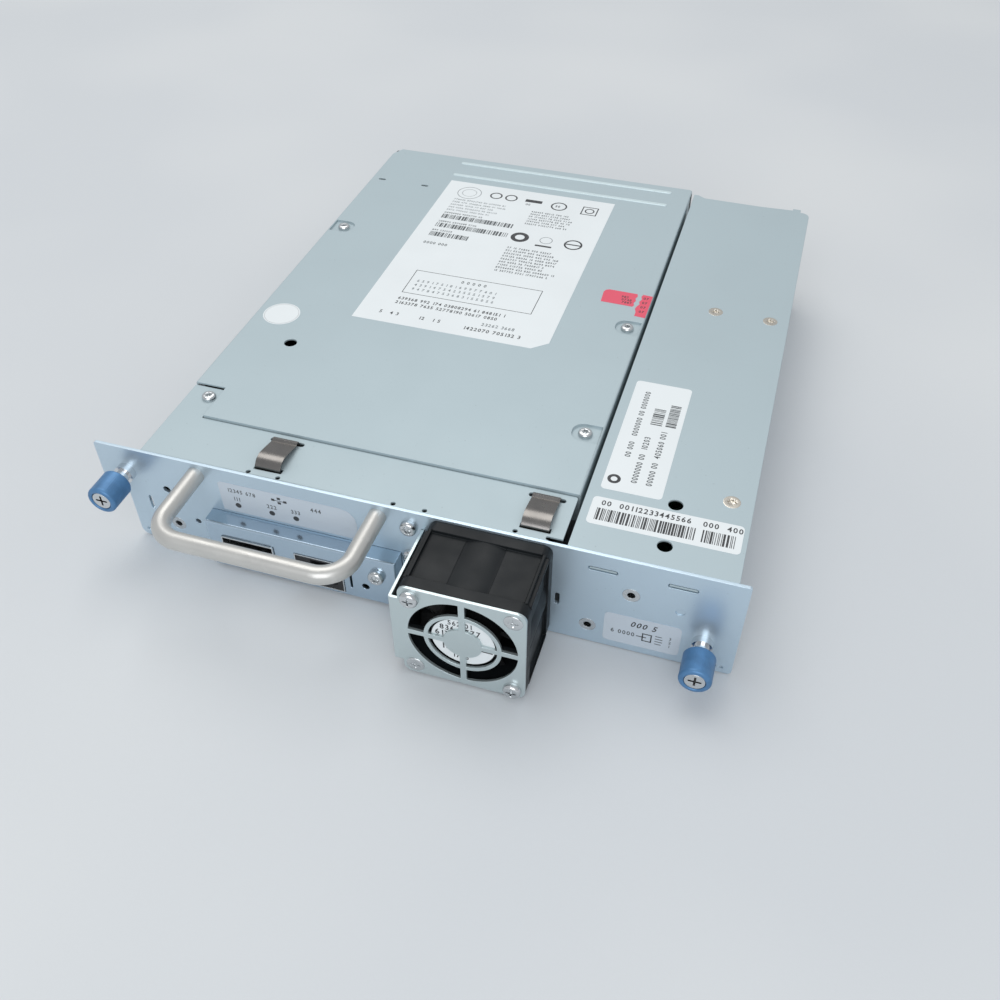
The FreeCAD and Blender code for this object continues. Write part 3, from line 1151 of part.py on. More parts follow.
CAST_ROUND = 4.0
CASE_BOSS_DIA, CASE_THREAD_DEPTH = 6.4, 9.0
FOOT_BOSS_DIA, FOOT_THREAD_DEPTH = 7.2, 7.0
RAIL_GAP, RAIL_WIDTH, RAIL_HEIGHT = 0.4, 2.0, 3.4
LEDGE_WIDTH = 5.0
CABLE_SLOT = (DRIVE_LEFT + 32.6, 110.0, 22.0, 9.0)
REAR_WINDOW_INSET, FAN_WINDOW_HALF = 14.0, 15.0


def drive_chassis():
    """The cast frame: three walls and a deck, open above for the mechanism and below for the board."""
    body = new_body("drive_chassis")
    wall = D.cast_wall
    left, right = CAST_LEFT + wall, CAST_RIGHT - wall
    blank = Profile(body, "chassis_plan", "XY_Plane", CAST_FOOT)
    blank.rectangle(CAST_LEFT, CAST_RIGHT, CAST_REAR, BEZEL_BACK)
    pad(blank, CAST_TOP - CAST_FOOT)
    upper = Profile(body, "chassis_upper", "XY_Plane", DECK_TOP).outline([
        (left, CAST_REAR + wall, CAST_ROUND), (right, CAST_REAR + wall, CAST_ROUND),
        (right, BEZEL_BACK + THROUGH), (left, BEZEL_BACK + THROUGH)])
    pocket(upper, D.drive_height)
    lower = Profile(body, "chassis_lower", "XY_Plane", CAST_FOOT - THROUGH)
    lower.rectangle(left, right, CAST_REAR + wall, BEZEL_BACK - wall)
    pocket(lower, D.deck_level - CAST_FOOT + THROUGH)
    windows = Profile(body, "chassis_rear_windows", "XZ_Plane", CAST_REAR - THROUGH)
    windows.rectangle(CAST_LEFT + REAR_WINDOW_INSET, CAST_RIGHT - REAR_WINDOW_INSET,
                      CAST_FOOT - THROUGH, D.deck_level)
    windows.rectangle(FAN_ACROSS - FAN_WINDOW_HALF, FAN_ACROSS + FAN_WINDOW_HALF,
                      DECK_TOP + 3, CAST_TOP - 6, 3.0)
    pocket(windows, wall + 2 * THROUGH)
    chassis_bosses(body)
    chassis_reliefs(body)
    chassis_rails(body)
    deck = Profile(body, "deck_holes", "XY_Plane", D.deck_level - THROUGH)
    deck.circle(DRIVE_MIDDLE, SUPPLY_Y, SUPPLY_CAN / 2 + 0.3)
    deck.circle(PINION_X, PINION_Y, PINION_SHAFT / 2 + 0.2)
    deck.slot(*CABLE_SLOT)
    pocket(deck, D.deck_thick + 2 * THROUGH)
    threads = Profile(body, "chassis_threads", "XY_Plane", CAST_TOP + THROUGH)
    for across, along in CASE_SCREWS:
        threads.circle(across, along, M25_SHANK / 2)
    pocket(threads, CASE_THREAD_DEPTH, towards=-1)
    feet = Profile(body, "chassis_foot_threads", "XY_Plane", CAST_FOOT - THROUGH)
    for across, along in MOUNT_SCREWS:
        feet.circle(across, along, M3_SHANK / 2)
    pocket(feet, FOOT_THREAD_DEPTH)
    keep(body, "drive_chassis")


def chassis_bosses(body):
    """Pillars that the cover's screws and the tray's screws go into."""
    pillars = Profile(body, "chassis_bosses", "XY_Plane", DECK_TOP - WELD)
    for across, along in CASE_SCREWS:
        pillars.circle(across, along, CASE_BOSS_DIA / 2)
    pad(pillars, DRIVE_TOP - DISH_DEPTH - D.sheet_thick - DECK_TOP + WELD)
    feet = Profile(body, "chassis_feet", "XY_Plane", CAST_FOOT)
    for across, along in MOUNT_SCREWS:
        feet.circle(across, along, FOOT_BOSS_DIA / 2)
    pad(feet, D.deck_level - CAST_FOOT + WELD)


def chassis_reliefs(body):
    """Notches in the walls' tops, under the cover's dishes and the rear cover's tab."""
    reach = DISH_RADIUS + D.sheet_thick + 0.3
    notches = Profile(body, "chassis_dish_reliefs", "XY_Plane", DRIVE_TOP - DISH_DEPTH - D.sheet_thick)
    for across, along in LEFT_DISHES:
        notches.rectangle(CAST_LEFT - THROUGH, across + reach, along - reach, along + reach)
    for across, along in RIGHT_DISHES:
        notches.rectangle(across - reach, CAST_RIGHT + THROUGH, along - reach, along + reach)
    pocket(notches, DISH_DEPTH + 2 * THROUGH)
    tab = Profile(body, "chassis_tab_relief", "XY_Plane", BOX_TOP - D.sheet_thick)
    tab.rectangle(CAST_LEFT - THROUGH, TAB_RIGHT + TAB_GAP, CAST_REAR - THROUGH, TAB_BACK + TAB_GAP)
    pocket(tab, DISH_DEPTH + 2 * THROUGH)


def chassis_rails(body):
    """Side rails that guide the carrier, and ledges that its floor slides on."""
    outer_left, outer_right = CARRIER_LEFT - RAIL_GAP, CARRIER_RIGHT + RAIL_GAP
    rails = Profile(body, "bay_rails", "XY_Plane", DECK_TOP - WELD)
    for start in (outer_left - RAIL_WIDTH, outer_right):
        rails.rectangle(start, start + RAIL_WIDTH, CARRIER_BACK + 2, BEZEL_BACK - 1)
    pad(rails, RAIL_HEIGHT + WELD)
    ledges = Profile(body, "bay_ledges", "XY_Plane", DECK_TOP - WELD)
    for start, finish in ((outer_left - 1, CARRIER_LEFT + LEDGE_WIDTH),
                          (CARRIER_RIGHT - LEDGE_WIDTH, outer_right + 1)):
        ledges.rectangle(start, finish, CARRIER_BACK + 4, BEZEL_BACK - 26)
    pad(ledges, CARRIER_FLOOR - D.slide_gap - DECK_TOP + WELD)


def drive_bottom_cover():
    sheet = block("bottom_sheet", (DRIVE_LEFT, DRIVE_RIGHT), (DRIVE_REAR, BEZEL_BACK),
                  (D.tray_thick, CAST_FOOT))
    holes = [rod(f"bottom_hole_{i}", "z", (across, along, 0), M3_SHANK / 2 + HOLE_GAP, 4)
             for i, (across, along) in enumerate(MOUNT_SCREWS, start=1)]
    keep(cut("drive_bottom_cover", sheet, holes), "drive_bottom_cover")


SPACER_WIDTH, SPACER_NECK, SPACER_HEAD, SPACER_HEAD_HEIGHT = 5.2, 2.4, 3.8, 1.0
MAIN_BOARD_SPOTS = tuple((across, along) for across in (DRIVE_LEFT + 22.6, DRIVE_RIGHT - 23.7)
                         for along in (sized(34.0), sized(130.0)))
BOARD_EDGE_GAP = 1.2


def board_spacer(name, spot, foot, board, towards):
    """A hexagonal spacer from a face to a board, with a neck through the board and a snap head."""
    across, along = spot
    start, finish = (foot, board) if towards > 0 else (board + D.board_thick, foot)
    neck = board if towards > 0 else board - WELD
    head = board + D.board_thick if towards > 0 else board - SPACER_HEAD_HEIGHT
    post = doc.addObject("Part::Prism", f"{name}_post")
    post.Polygon = 6
    bind(post, "Circumradius", SPACER_WIDTH / math.sqrt(3))
    bind(post, "Height", finish - start)
    put(post, (across, along, start))
    pin = rod(f"{name}_neck", "z", (across, along, neck), SPACER_NECK / 2, D.board_thick + WELD)
    snap = rod(f"{name}_head", "z", (across, along, head), SPACER_HEAD / 2, SPACER_HEAD_HEIGHT)
    return fuse(name, [post, pin, snap])


def main_board():
    """The drive's circuit board, hung under the deck on spacers and notched round the feet."""
    edge = D.cast_wall + BOARD_EDGE_GAP
    under = sized(BOARD_LEVEL - THROUGH)
    depth = D.board_thick + 2 * THROUGH
    board = block("main_board_sheet", (CAST_LEFT + edge, CAST_RIGHT - edge),
                  (CAST_REAR + edge, SUPPLY_Y - SUPPLY_CAN / 2 - 8),
                  (sized(BOARD_LEVEL), BOARD_LEVEL + D.board_thick))
    holes = [rod(f"main_board_notch_{i}", "z", (across, along, under), FOOT_BOSS_DIA / 2 + 0.6, depth)
             for i, (across, along) in enumerate(MOUNT_SCREWS, start=1)]
    holes += [rod(f"main_board_hole_{i}", "z", (across, along, under), SPACER_NECK / 2, depth)
              for i, (across, along) in enumerate(MAIN_BOARD_SPOTS, start=1)]
    keep(cut("main_board", board, holes), "main_board")


# ---------------------------------------------------------------- Tape drive: cartridge bay

BEZEL_ROUND, SLOT_ROUND, SLOT_BEVEL = 1.0, 1.2, 0.8
LUG_THICK, LUG_REACH = 2.4, 3.2
DOOR_GAP = 0.5
CARRIER_LIP, LIP_TRIM = 9.0, 14.0


def loader_bezel():
    """The moulded frame round the cartridge slot, with lugs for the door's pin behind it."""
    body = new_body("loader_bezel")
    face = Profile(body, "bezel_face", "XZ_Plane", BEZEL_BACK)
    face.rectangle(DRIVE_LEFT, DRIVE_RIGHT, D.tray_thick, CAST_TOP, BEZEL_ROUND)
    pad(face, D.bezel_thick)
    slot = Profile(body, "bezel_slot", "XZ_Plane", BEZEL_BACK - THROUGH)
    slot.rectangle(BAY_LEFT, BAY_RIGHT, D.bay_floor, BAY_TOP, SLOT_ROUND)
    pocket(slot, D.bezel_thick + 2 * THROUGH)
    lugs = Profile(body, "bezel_lugs", "XZ_Plane", BEZEL_BACK - LUG_REACH)
    for left in (BAY_LEFT - 0.8 - LUG_THICK, BAY_RIGHT + 0.8):
        lugs.rectangle(left, left + LUG_THICK, DOOR_PIN_LEVEL - 2.2, DOOR_PIN_LEVEL + 1.6)
    pad(lugs, LUG_REACH + WELD)
    bores = Profile(body, "bezel_bores", "YZ_Plane", BAY_LEFT - 6)
    bores.circle(DOOR_PIN_Y, DOOR_PIN_LEVEL, D.door_pin_dia / 2 + D.running_gap)
    pocket(bores, BAY_RIGHT - BAY_LEFT + 12)
    front = BEZEL_BACK + D.bezel_thick
    dress("Chamfer", body, SLOT_BEVEL, lambda edge: abs(edge.CenterOfMass.y - front.value) < 1e-6
          and BAY_LEFT.value - 1 < edge.CenterOfMass.x < BAY_RIGHT.value + 1
          and D.bay_floor.value - 1 < edge.CenterOfMass.z < BAY_TOP.value + 1)
    keep(body, "loader_bezel")


def cartridge_door():
    """A flap that hangs behind the slot from a pin along its top edge."""
    left, right = BAY_LEFT + DOOR_GAP, BAY_RIGHT - DOOR_GAP
    half, pin_radius = D.door_thick / 2, D.door_pin_dia / 2
    flap = block("door_flap", (left, right), (DOOR_PIN_Y - half, DOOR_PIN_Y + half),
                 (D.bay_floor + 0.6, DOOR_PIN_LEVEL))
    barrel = rod("door_barrel", "x", (left, DOOR_PIN_Y, DOOR_PIN_LEVEL), pin_radius + 0.4, right - left)
    bore = rod("door_bore", "x", (left - 1, DOOR_PIN_Y, DOOR_PIN_LEVEL), pin_radius, right - left + 2)
    keep(cut("cartridge_door", fuse("door_blank", [flap, barrel]), [bore]), "cartridge_door")
    reach = 4.0
    pin = rod("door_pin", "x", (BAY_LEFT - reach, DOOR_PIN_Y, DOOR_PIN_LEVEL), pin_radius,
              BAY_RIGHT - BAY_LEFT + 2 * reach)
    keep(pin, "door_pin")


def cartridge_carrier():
    """The sliding tray that takes the cartridge in: floor, two walls and a lip over each."""
    body = new_body("cartridge_carrier")
    front, top = CARRIER_BACK + D.carrier_length, BAY_TOP + D.carrier_wall
    section = Profile(body, "carrier_section", "XZ_Plane", CARRIER_BACK).outline([
        (CARRIER_LEFT, CARRIER_FLOOR), (CARRIER_RIGHT, CARRIER_FLOOR), (CARRIER_RIGHT, top),
        (CARRIER_RIGHT - CARRIER_LIP, top), (CARRIER_RIGHT - CARRIER_LIP, BAY_TOP), (BAY_RIGHT, BAY_TOP),
        (BAY_RIGHT, D.bay_floor), (BAY_LEFT, D.bay_floor), (BAY_LEFT, BAY_TOP),
        (CARRIER_LEFT + CARRIER_LIP, BAY_TOP), (CARRIER_LEFT + CARRIER_LIP, top), (CARRIER_LEFT, top)])
    pad(section, D.carrier_length)
    trim = Profile(body, "carrier_lip_trim", "XY_Plane", BAY_TOP - 0.1)
    trim.rectangle(CARRIER_LEFT - THROUGH, CARRIER_RIGHT + THROUGH, front - LIP_TRIM, front + THROUGH)
    pocket(trim, D.carrier_wall + 2 * THROUGH)
    hub_width = CHUCK_DIA + 4.0
    hub_back, hub_front = SUPPLY_Y - D.eject_travel - hub_width / 2, front + hub_width
    hub = Profile(body, "carrier_hub_slot", "XY_Plane", CARRIER_FLOOR - THROUGH)
    hub.slot(DRIVE_MIDDLE, (hub_back + hub_front) / 2, hub_front - hub_back, hub_width, upright=True)
    pocket(hub, D.carrier_wall + 2 * THROUGH)
    keep(body, "cartridge_carrier")


def carrier_rack():
    """A toothed bar along the carrier's left wall, with a tooth in line with the pinion."""
    steps = round((PINION_Y - CARRIER_BACK - 8).value / RACK_PITCH)
    origin = PINION_Y - steps * RACK_PITCH
    root, crest = RACK_LINE + DEDENDUM, RACK_LINE - ADDENDUM
    root_half, crest_half = 0.84, 0.28
    corners = [(CARRIER_LEFT, origin - RACK_PITCH), (root, origin - RACK_PITCH)]
    teeth = int(RACK_LENGTH / RACK_PITCH)
    for tooth in range(teeth):
        middle = origin + tooth * RACK_PITCH
        corners += [(root, middle - root_half), (crest, middle - crest_half),
                    (crest, middle + crest_half), (root, middle + root_half)]
    last = origin + teeth * RACK_PITCH
    corners += [(root, last), (CARRIER_LEFT, last)]
    body = new_body("carrier_rack")
    pad(Profile(body, "rack_teeth", "XY_Plane", RACK_LEVEL).outline(corners), RACK_THICK)
    keep(body, "carrier_rack")


def load_pinion():
    """A spur pinion whose gap faces a rack tooth, on the load motor's shaft."""
    body = new_body("load_pinion")
    centre = (PINION_X, PINION_Y)
    overlap = 0.4
    level, thick = RACK_LEVEL - overlap, RACK_THICK + 2 * overlap
    root = PINION_RADIUS - DEDENDUM
    pad(Profile(body, "pinion_blank", "XY_Plane", level, centre).circle(0, 0, root), thick)
    turn = math.pi / PINION_TEETH
    flank = [(root - 0.3, 0.90), (PINION_RADIUS, 0.48), (PINION_RADIUS + ADDENDUM, 0.20)]
    outline = []
    for radius, half in flank + [(radius, -half) for radius, half in reversed(flank)]:
        outline.append((radius * math.cos(turn) - half * math.sin(turn),
                        radius * math.sin(turn) + half * math.cos(turn)))
    tooth = Profile(body, "pinion_tooth", "XY_Plane", level, centre).outline(outline)
    around(body, pad(tooth, thick), tooth, PINION_TEETH, "N_Axis")
    foot = D.deck_level - 1.0
    shaft = Profile(body, "pinion_shaft", "XY_Plane", foot, centre).circle(0, 0, PINION_SHAFT / 2)
    pad(shaft, RACK_LEVEL + RACK_THICK + 1 - foot)
    keep(body, "load_pinion")


def load_motor():
    """The loader's motor, hung under the deck, with a well for the pinion's shaft."""
    foot = CAST_FOOT + 0.4
    can = rod("load_motor_can", "z", (PINION_X, PINION_Y, foot), LOAD_MOTOR_DIA / 2, D.deck_level - foot)
    well = rod("load_motor_well", "z", (PINION_X, PINION_Y, D.deck_level - 1.4),
               PINION_SHAFT / 2 + D.running_gap, 2)
    keep(cut("load_motor", can, [well]), "load_motor")


# ---------------------------------------------------------------- Tape drive: reels, head, guides

MOTOR_RIM, MOTOR_FOOT_GAP = 3.0, 0.6
CHUCK_TEETH, CHUCK_THICK, CHUCK_GAP = 12, 1.0, 0.2
REEL_BOSS, REEL_RECESS = 3.0, 4.0
ROLLER_RIM, ROLLER_WAIST, ROLLER_GAP = 0.9, 0.6, 0.3
POST_FOOT_DIA, POST_CAP_DIA, POST_CAP_THICK = 6.8, 5.2, 1.2
HEAD_HEIGHT, HEAD_HALF_LENGTH, HEAD_ROD = 12.0, 7.0, 1.0


def supply_drive():
    """The flat motor in the deck and the chuck that turns the cartridge's hub."""
    deck, spindle = D.deck_level, D.spindle_dia / 2
    can, low, high = SUPPLY_CAN / 2, CAST_FOOT + MOTOR_FOOT_GAP, DECK_TOP - 0.4
    bore = spindle + D.running_gap
    motor = turned_upright("supply_motor", DRIVE_MIDDLE, SUPPLY_Y, [
        (bore, low), (can + MOTOR_RIM, low), (can + MOTOR_RIM, deck), (can, deck), (can, high), (bore, high)])
    keep(motor, "supply_motor")
    rim, foot = CHUCK_DIA / 2, DECK_TOP + CHUCK_GAP
    plate, crown = foot + CHUCK_THICK, foot + CHUCK_THICK + 0.6
    chuck = turned_upright("supply_chuck", DRIVE_MIDDLE, SUPPLY_Y, [
        (0, low + 0.4), (spindle, low + 0.4), (spindle, foot), (rim, foot), (rim, plate), (rim - 4, plate),
        (rim - 4, crown), (0, crown)])
    tooth = Profile(chuck, "chuck_tooth", "XY_Plane", plate - WELD, (DRIVE_MIDDLE, SUPPLY_Y))
    tooth.outline([(rim - 3.4, -0.7), (rim - 0.4, -1.1), (rim - 0.4, 1.1), (rim - 3.4, 0.7)])
    around(chuck, pad(tooth, 0.7 + WELD), tooth, CHUCK_TEETH, "N_Axis")
    keep(chuck, "supply_chuck")


def takeup_drive():
    """The take-up reel on its spindle, over a flat motor that sits on the deck."""
    hub, rim, spindle = D.reel_hub_dia / 2, D.reel_dia / 2, D.spindle_dia / 2
    low = REEL_FOOT + D.reel_flange
    high = low + D.tape_width + 0.6
    top = high + D.reel_flange
    boss, recess = spindle + REEL_BOSS, hub - REEL_RECESS
    reel = turned_upright("takeup_reel", REEL_X, REEL_Y, [
        (0, DECK_TOP + 0.5), (spindle, DECK_TOP + 0.5), (spindle, REEL_FOOT - 0.2), (boss, REEL_FOOT - 0.2),
        (boss, REEL_FOOT), (rim, REEL_FOOT), (rim, low), (hub, low), (hub, high), (rim, high), (rim, top),
        (recess, top), (recess, low + 2), (boss, low + 2), (boss, top - 1), (0, top - 1)])
    keep(reel, "takeup_reel")
    bore, crown = spindle + D.running_gap, REEL_FOOT - 0.6
    motor = turned_upright("takeup_motor", REEL_X, REEL_Y, [
        (0, DECK_TOP), (hub + 4, DECK_TOP), (hub + 4, DECK_TOP + 1), (hub, DECK_TOP + 1), (hub, crown),
        (bore, crown), (bore, DECK_TOP + 0.4), (0, DECK_TOP + 0.4)])
    keep(motor, "takeup_motor")


def tape_guides():
    """Four flanged rollers on fixed posts, each under a cap."""
    foot, top = ROLLER_FOOT, ROLLER_FOOT + D.tape_width + 2
    rim, waist = D.roller_dia / 2, D.roller_dia / 2 - ROLLER_WAIST
    bore = D.roller_post / 2 + D.running_gap
    posts = []
    for i, (across, along) in enumerate(ROLLERS, start=1):
        roller = turned_upright(f"guide_roller_{i}", across, along, [
            (bore, foot), (rim, foot), (rim, foot + ROLLER_RIM), (waist, foot + ROLLER_RIM + 0.3),
            (waist, top - ROLLER_RIM - 0.3), (rim, top - ROLLER_RIM), (rim, top), (bore, top)])
        keep(roller, f"guide_roller_{i}")
        cap = top + ROLLER_GAP
        pieces = (("post", DECK_TOP, D.roller_post / 2, cap + POST_CAP_THICK - DECK_TOP),
                  ("foot", DECK_TOP, POST_FOOT_DIA / 2, foot - ROLLER_GAP - DECK_TOP),
                  ("cap", cap, POST_CAP_DIA / 2, POST_CAP_THICK))
        stack = [rod(f"roller_{name}_{i}", "z", (across, along, level), radius, length)
                 for name, level, radius, length in pieces]
        posts.append(fuse(f"roller_post_{i}", stack))
    keep(group("roller_post_group", posts), "roller_posts")


def head():
    """The head carriage, which steps up and down two rods across the tape."""
    across, along = HEAD_SPOT
    low = REEL_FOOT + D.reel_flange + D.tape_width / 2 - HEAD_HEIGHT / 2
    top = low + HEAD_HEIGHT
    rods = [(across - 1.6, along + step) for step in (-4.4, 4.4)]
    length = (along - HEAD_HALF_LENGTH, along + HEAD_HALF_LENGTH)
    carriage = block("head_block", (across - 4.2, across + 2.2), length, (low, top))
    face = rod("head_face", "z", (across + 1.0, along, low + 1), 4.6, HEAD_HEIGHT - 2)
    depth = HEAD_HEIGHT + 2 * THROUGH
    bores = [rod(f"head_bore_{i}", "z", (x, y, low - THROUGH), HEAD_ROD + D.running_gap, depth)
             for i, (x, y) in enumerate(rods, start=1)]
    keep(cut("head_carriage", fuse("head_blank", [carriage, face]), bores), "head_carriage")
    rod_top = top + D.head_travel / 2 + 2.4
    guides = [rod(f"head_rod_{i}", "z", (x, y, DECK_TOP), HEAD_ROD, rod_top - DECK_TOP)
              for i, (x, y) in enumerate(rods, start=1)]
    keep(group("head_rod_group", guides), "head_rods")
    foot = block("head_foot", (across - 4.2, across + 3), length, (DECK_TOP, DECK_TOP + 3))
    holes = [rod(f"head_foot_bore_{i}", "z", (x, y, DECK_TOP - THROUGH), HEAD_ROD, 6)
             for i, (x, y) in enumerate(rods, start=1)]
    keep(cut("head_actuator", foot, holes), "head_actuator")


# ---------------------------------------------------------------- Side box contents

INTERFACE_LEVEL = 7.0
INTERFACE_EDGE, INTERFACE_END = 2.0, 14.0
DOCK_INSET, DOCK_HEIGHT, DOCK_WALL, DOCK_DEPTH = 9.0, 11.0, 2.0, 21.5


def interface_board():
    """The board in the side box. Its spacers share a node with the main board's."""
    left, right = BOX_LEFT + D.sheet_thick + INTERFACE_EDGE, BOX_RIGHT - D.tray_thick - INTERFACE_EDGE
    level = sized(INTERFACE_LEVEL)
    board = block("interface_sheet", (left, right), (PANEL_BACK + INTERFACE_END, BOX_BACK - INTERFACE_END),
                  (level, level + D.board_thick))
    spots = [(across, along) for across in (left + 5, right - 5)
             for along in (PANEL_BACK + 20, BOX_BACK - 30)]
    depth = D.board_thick + 2 * THROUGH
    holes = [rod(f"interface_hole_{i}", "z", (*spot, level - THROUGH), SPACER_NECK / 2, depth)
             for i, spot in enumerate(spots, start=1)]
    keep(cut("interface_board", board, holes), "interface_board")
    spacers = [board_spacer(f"interface_spacer_{i}", spot, D.tray_thick, level, 1)
               for i, spot in enumerate(spots, start=1)]
    spacers += [board_spacer(f"main_spacer_{i}", spot, D.deck_level, sized(BOARD_LEVEL), -1)
                for i, spot in enumerate(MAIN_BOARD_SPOTS, start=1)]
    keep(group("board_spacer_group", spacers), "board_spacers")


def docking_connector():
    """The blind-mating connector at the back of the side box, on the interface board."""
    left, right = BOX_LEFT + DOCK_INSET, BOX_RIGHT - DOCK_INSET
    low = INTERFACE_LEVEL + D.board_thick
    high, wall = low + DOCK_HEIGHT, DOCK_WALL
    back = BOX_BACK - 2.5
    shell = block("dock_shell", (left, right), (back - DOCK_DEPTH, back), (low, high))
    cavity = block("dock_cavity", (left + wall, right - wall), (back - 11.5, back + THROUGH),
                   (low + wall, high - wall))
    blade = block("dock_blade", (left + 2 * wall, right - 2 * wall), (back - 12.5, back - 2.5),
                  (low + 4.6, low + 6.2))
    keep(fuse("docking_connector", [cut("dock_socket", shell, [cavity]), blade]), "docking_connector")


def flat_screws():
    """Flat-head screws: four through the tray into the drive, three in the side box cover."""
    screws = [countersunk(f"mount_screw_{i}", (across, along, sized(0)), 1)
              for i, (across, along) in enumerate(MOUNT_SCREWS, start=1)]
    screws += [countersunk(f"box_screw_{i}", (across, along, BOX_TOP), -1)
               for i, (across, along) in enumerate(BOX_SCREWS, start=1)]
    keep(group("flat_screw_group", screws), "flat_head_screws")


# ---------------------------------------------------------------- Build

front_panel()
clinch_nuts()
sled_tray()
drive_cover()
cover_screws()
rear_cover()
for clip_side, clip_left in zip(("left", "right"), CLIP_LEFTS):
    emi_clip(f"emi_clip_{clip_side}", clip_left)
side_box_cover()
connector_bracket()
sas_receptacle()
ethernet_jack()
light_pipes()
connector_card()
bracket_screws()
handle()
handle_screws()
captive_screw("left", D.left_screw_across, D.left_screw_level)
captive_screw("right", RIGHT_SCREW, D.right_screw_level)
fan_housing()
fan_rotor()
fan_bracket()
fan_screws()
drive_chassis()
drive_bottom_cover()
main_board()
loader_bezel()
cartridge_door()
cartridge_carrier()
carrier_rack()
load_pinion()
load_motor()
supply_drive()
takeup_drive()
tape_guides()
head()
interface_board()
docking_connector()
flat_screws()
doc.recompute()

faults = []
for item in doc.Objects:
    if "Invalid" in item.State or "Error" in item.State:
        faults.append(f"{item.Name}: {item.State}")
for item in SUB_PARTS:
    if item.Shape.isNull() or not item.Shape.isValid():
        faults.append(f"{item.Label}: bad shape")
if faults:
    raise SystemExit("\n".join(faults))
for item in SUB_PARTS:
    item.Shape.exportStep(f"parts/{item.Label}.step")
print(f"{len(SUB_PARTS)} sub-parts written")
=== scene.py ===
import json
import math
import random

import bmesh
import bpy
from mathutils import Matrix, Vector


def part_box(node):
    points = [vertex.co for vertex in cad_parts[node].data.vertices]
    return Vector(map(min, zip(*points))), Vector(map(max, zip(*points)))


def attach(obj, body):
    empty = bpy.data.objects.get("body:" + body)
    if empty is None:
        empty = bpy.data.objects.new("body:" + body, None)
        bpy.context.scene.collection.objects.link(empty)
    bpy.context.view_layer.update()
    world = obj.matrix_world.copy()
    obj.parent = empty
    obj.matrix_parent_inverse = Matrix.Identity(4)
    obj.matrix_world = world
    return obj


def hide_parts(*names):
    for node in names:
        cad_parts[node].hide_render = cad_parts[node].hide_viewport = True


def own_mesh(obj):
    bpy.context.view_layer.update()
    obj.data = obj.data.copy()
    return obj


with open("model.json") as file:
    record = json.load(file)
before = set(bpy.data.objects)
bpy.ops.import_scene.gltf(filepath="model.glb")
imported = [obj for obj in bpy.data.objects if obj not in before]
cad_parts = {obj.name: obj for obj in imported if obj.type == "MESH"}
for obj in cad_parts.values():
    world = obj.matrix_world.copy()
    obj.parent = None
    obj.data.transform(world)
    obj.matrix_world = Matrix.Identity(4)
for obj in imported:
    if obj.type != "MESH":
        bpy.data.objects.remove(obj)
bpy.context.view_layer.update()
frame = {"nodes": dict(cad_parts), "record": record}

# The looks of a tape drive module: finishes for every node, sheet metal with rounded edges, detailed
# screws and knobs, printed labels with plain digits, and a pale studio. Metres, in the CAD's frame.

MM = 0.001
X, Y, Z = Vector((1, 0, 0)), Vector((0, 1, 0)), Vector((0, 0, 1))
CREASE = math.radians(32)  # shading breaks at corners sharper than this


# ---------------------------------------------------------------- Finishes


class Finish:
    """A procedural material with a Principled shader and a small kit of noise layers."""

    def __init__(self, name, colour, metallic=0.0, roughness=0.5):
        self.material = bpy.data.materials.new(name)
        self.material.use_nodes = True
        self.nodes = self.material.node_tree.nodes
        self.links = self.material.node_tree.links
        self.shader = self.nodes["Principled BSDF"]
        self.colour = colour
        self.shader.inputs["Base Color"].default_value = (*colour, 1)
        self.shader.inputs["Metallic"].default_value = metallic
        self.shader.inputs["Roughness"].default_value = roughness
        self.roughness = roughness
        self.place = self.nodes.new("ShaderNodeTexCoord").outputs["Object"]
        self.height = None

    def noise(self, scale, detail=3.0, stretch=(1, 1, 1), soften=0.5):
        """Noise in object space, drawn out along an axis by a small stretch there."""
        mapping = self.nodes.new("ShaderNodeMapping")
        mapping.inputs["Scale"].default_value = stretch
        self.links.new(self.place, mapping.inputs["Vector"])
        noise = self.nodes.new("ShaderNodeTexNoise")
        noise.inputs["Scale"].default_value = scale
        noise.inputs["Detail"].default_value = detail
        noise.inputs["Roughness"].default_value = soften
        self.links.new(mapping.outputs["Vector"], noise.inputs["Vector"])
        return noise.outputs["Fac"]

    def ranged(self, source, low, high, start=0.3, finish=0.7):
        """A value spread between two limits."""
        node = self.nodes.new("ShaderNodeMapRange")
        for name, value in (("From Min", start), ("From Max", finish), ("To Min", low), ("To Max", high)):
            node.inputs[name].default_value = value
        self.links.new(source, node.inputs["Value"])
        return node.outputs["Result"]

    def tint(self, source, other, start=0.35, finish=0.65):
        """Blend the base colour towards another where the source is high."""
        mix = self.nodes.new("ShaderNodeMix")
        mix.data_type = "RGBA"
        socket = self.shader.inputs["Base Color"]
        if socket.is_linked:
            self.links.new(socket.links[0].from_socket, mix.inputs["A"])
        else:
            mix.inputs["A"].default_value = (*self.colour, 1)
        mix.inputs["B"].default_value = (*other, 1)
        self.links.new(self.ranged(source, 0, 1, start, finish), mix.inputs["Factor"])
        self.links.new(mix.outputs["Result"], socket)
        return self

    def gloss(self, source, spread, start=0.3, finish=0.7):
        """Let roughness wander about its middle value."""
        result = self.ranged(source, self.roughness - spread, self.roughness + spread, start, finish)
        self.links.new(result, self.shader.inputs["Roughness"])
        return self

    def bump(self, source, depth, strength=1.0):
        """Add a layer of relief, its depth in metres."""
        node = self.nodes.new("ShaderNodeBump")
        node.inputs["Distance"].default_value = depth
        node.inputs["Strength"].default_value = strength
        self.links.new(source, node.inputs["Height"])
        if self.height is not None:
            self.links.new(self.height, node.inputs["Normal"])
        self.height = node.outputs["Normal"]
        self.links.new(self.height, self.shader.inputs["Normal"])
        return self

    def edge_wear(self, colour):
        """Rub the corners bare with the geometry's pointiness."""
        geometry = self.nodes.new("ShaderNodeNewGeometry")
        return self.tint(geometry.outputs["Pointiness"], colour, 0.56, 0.685)


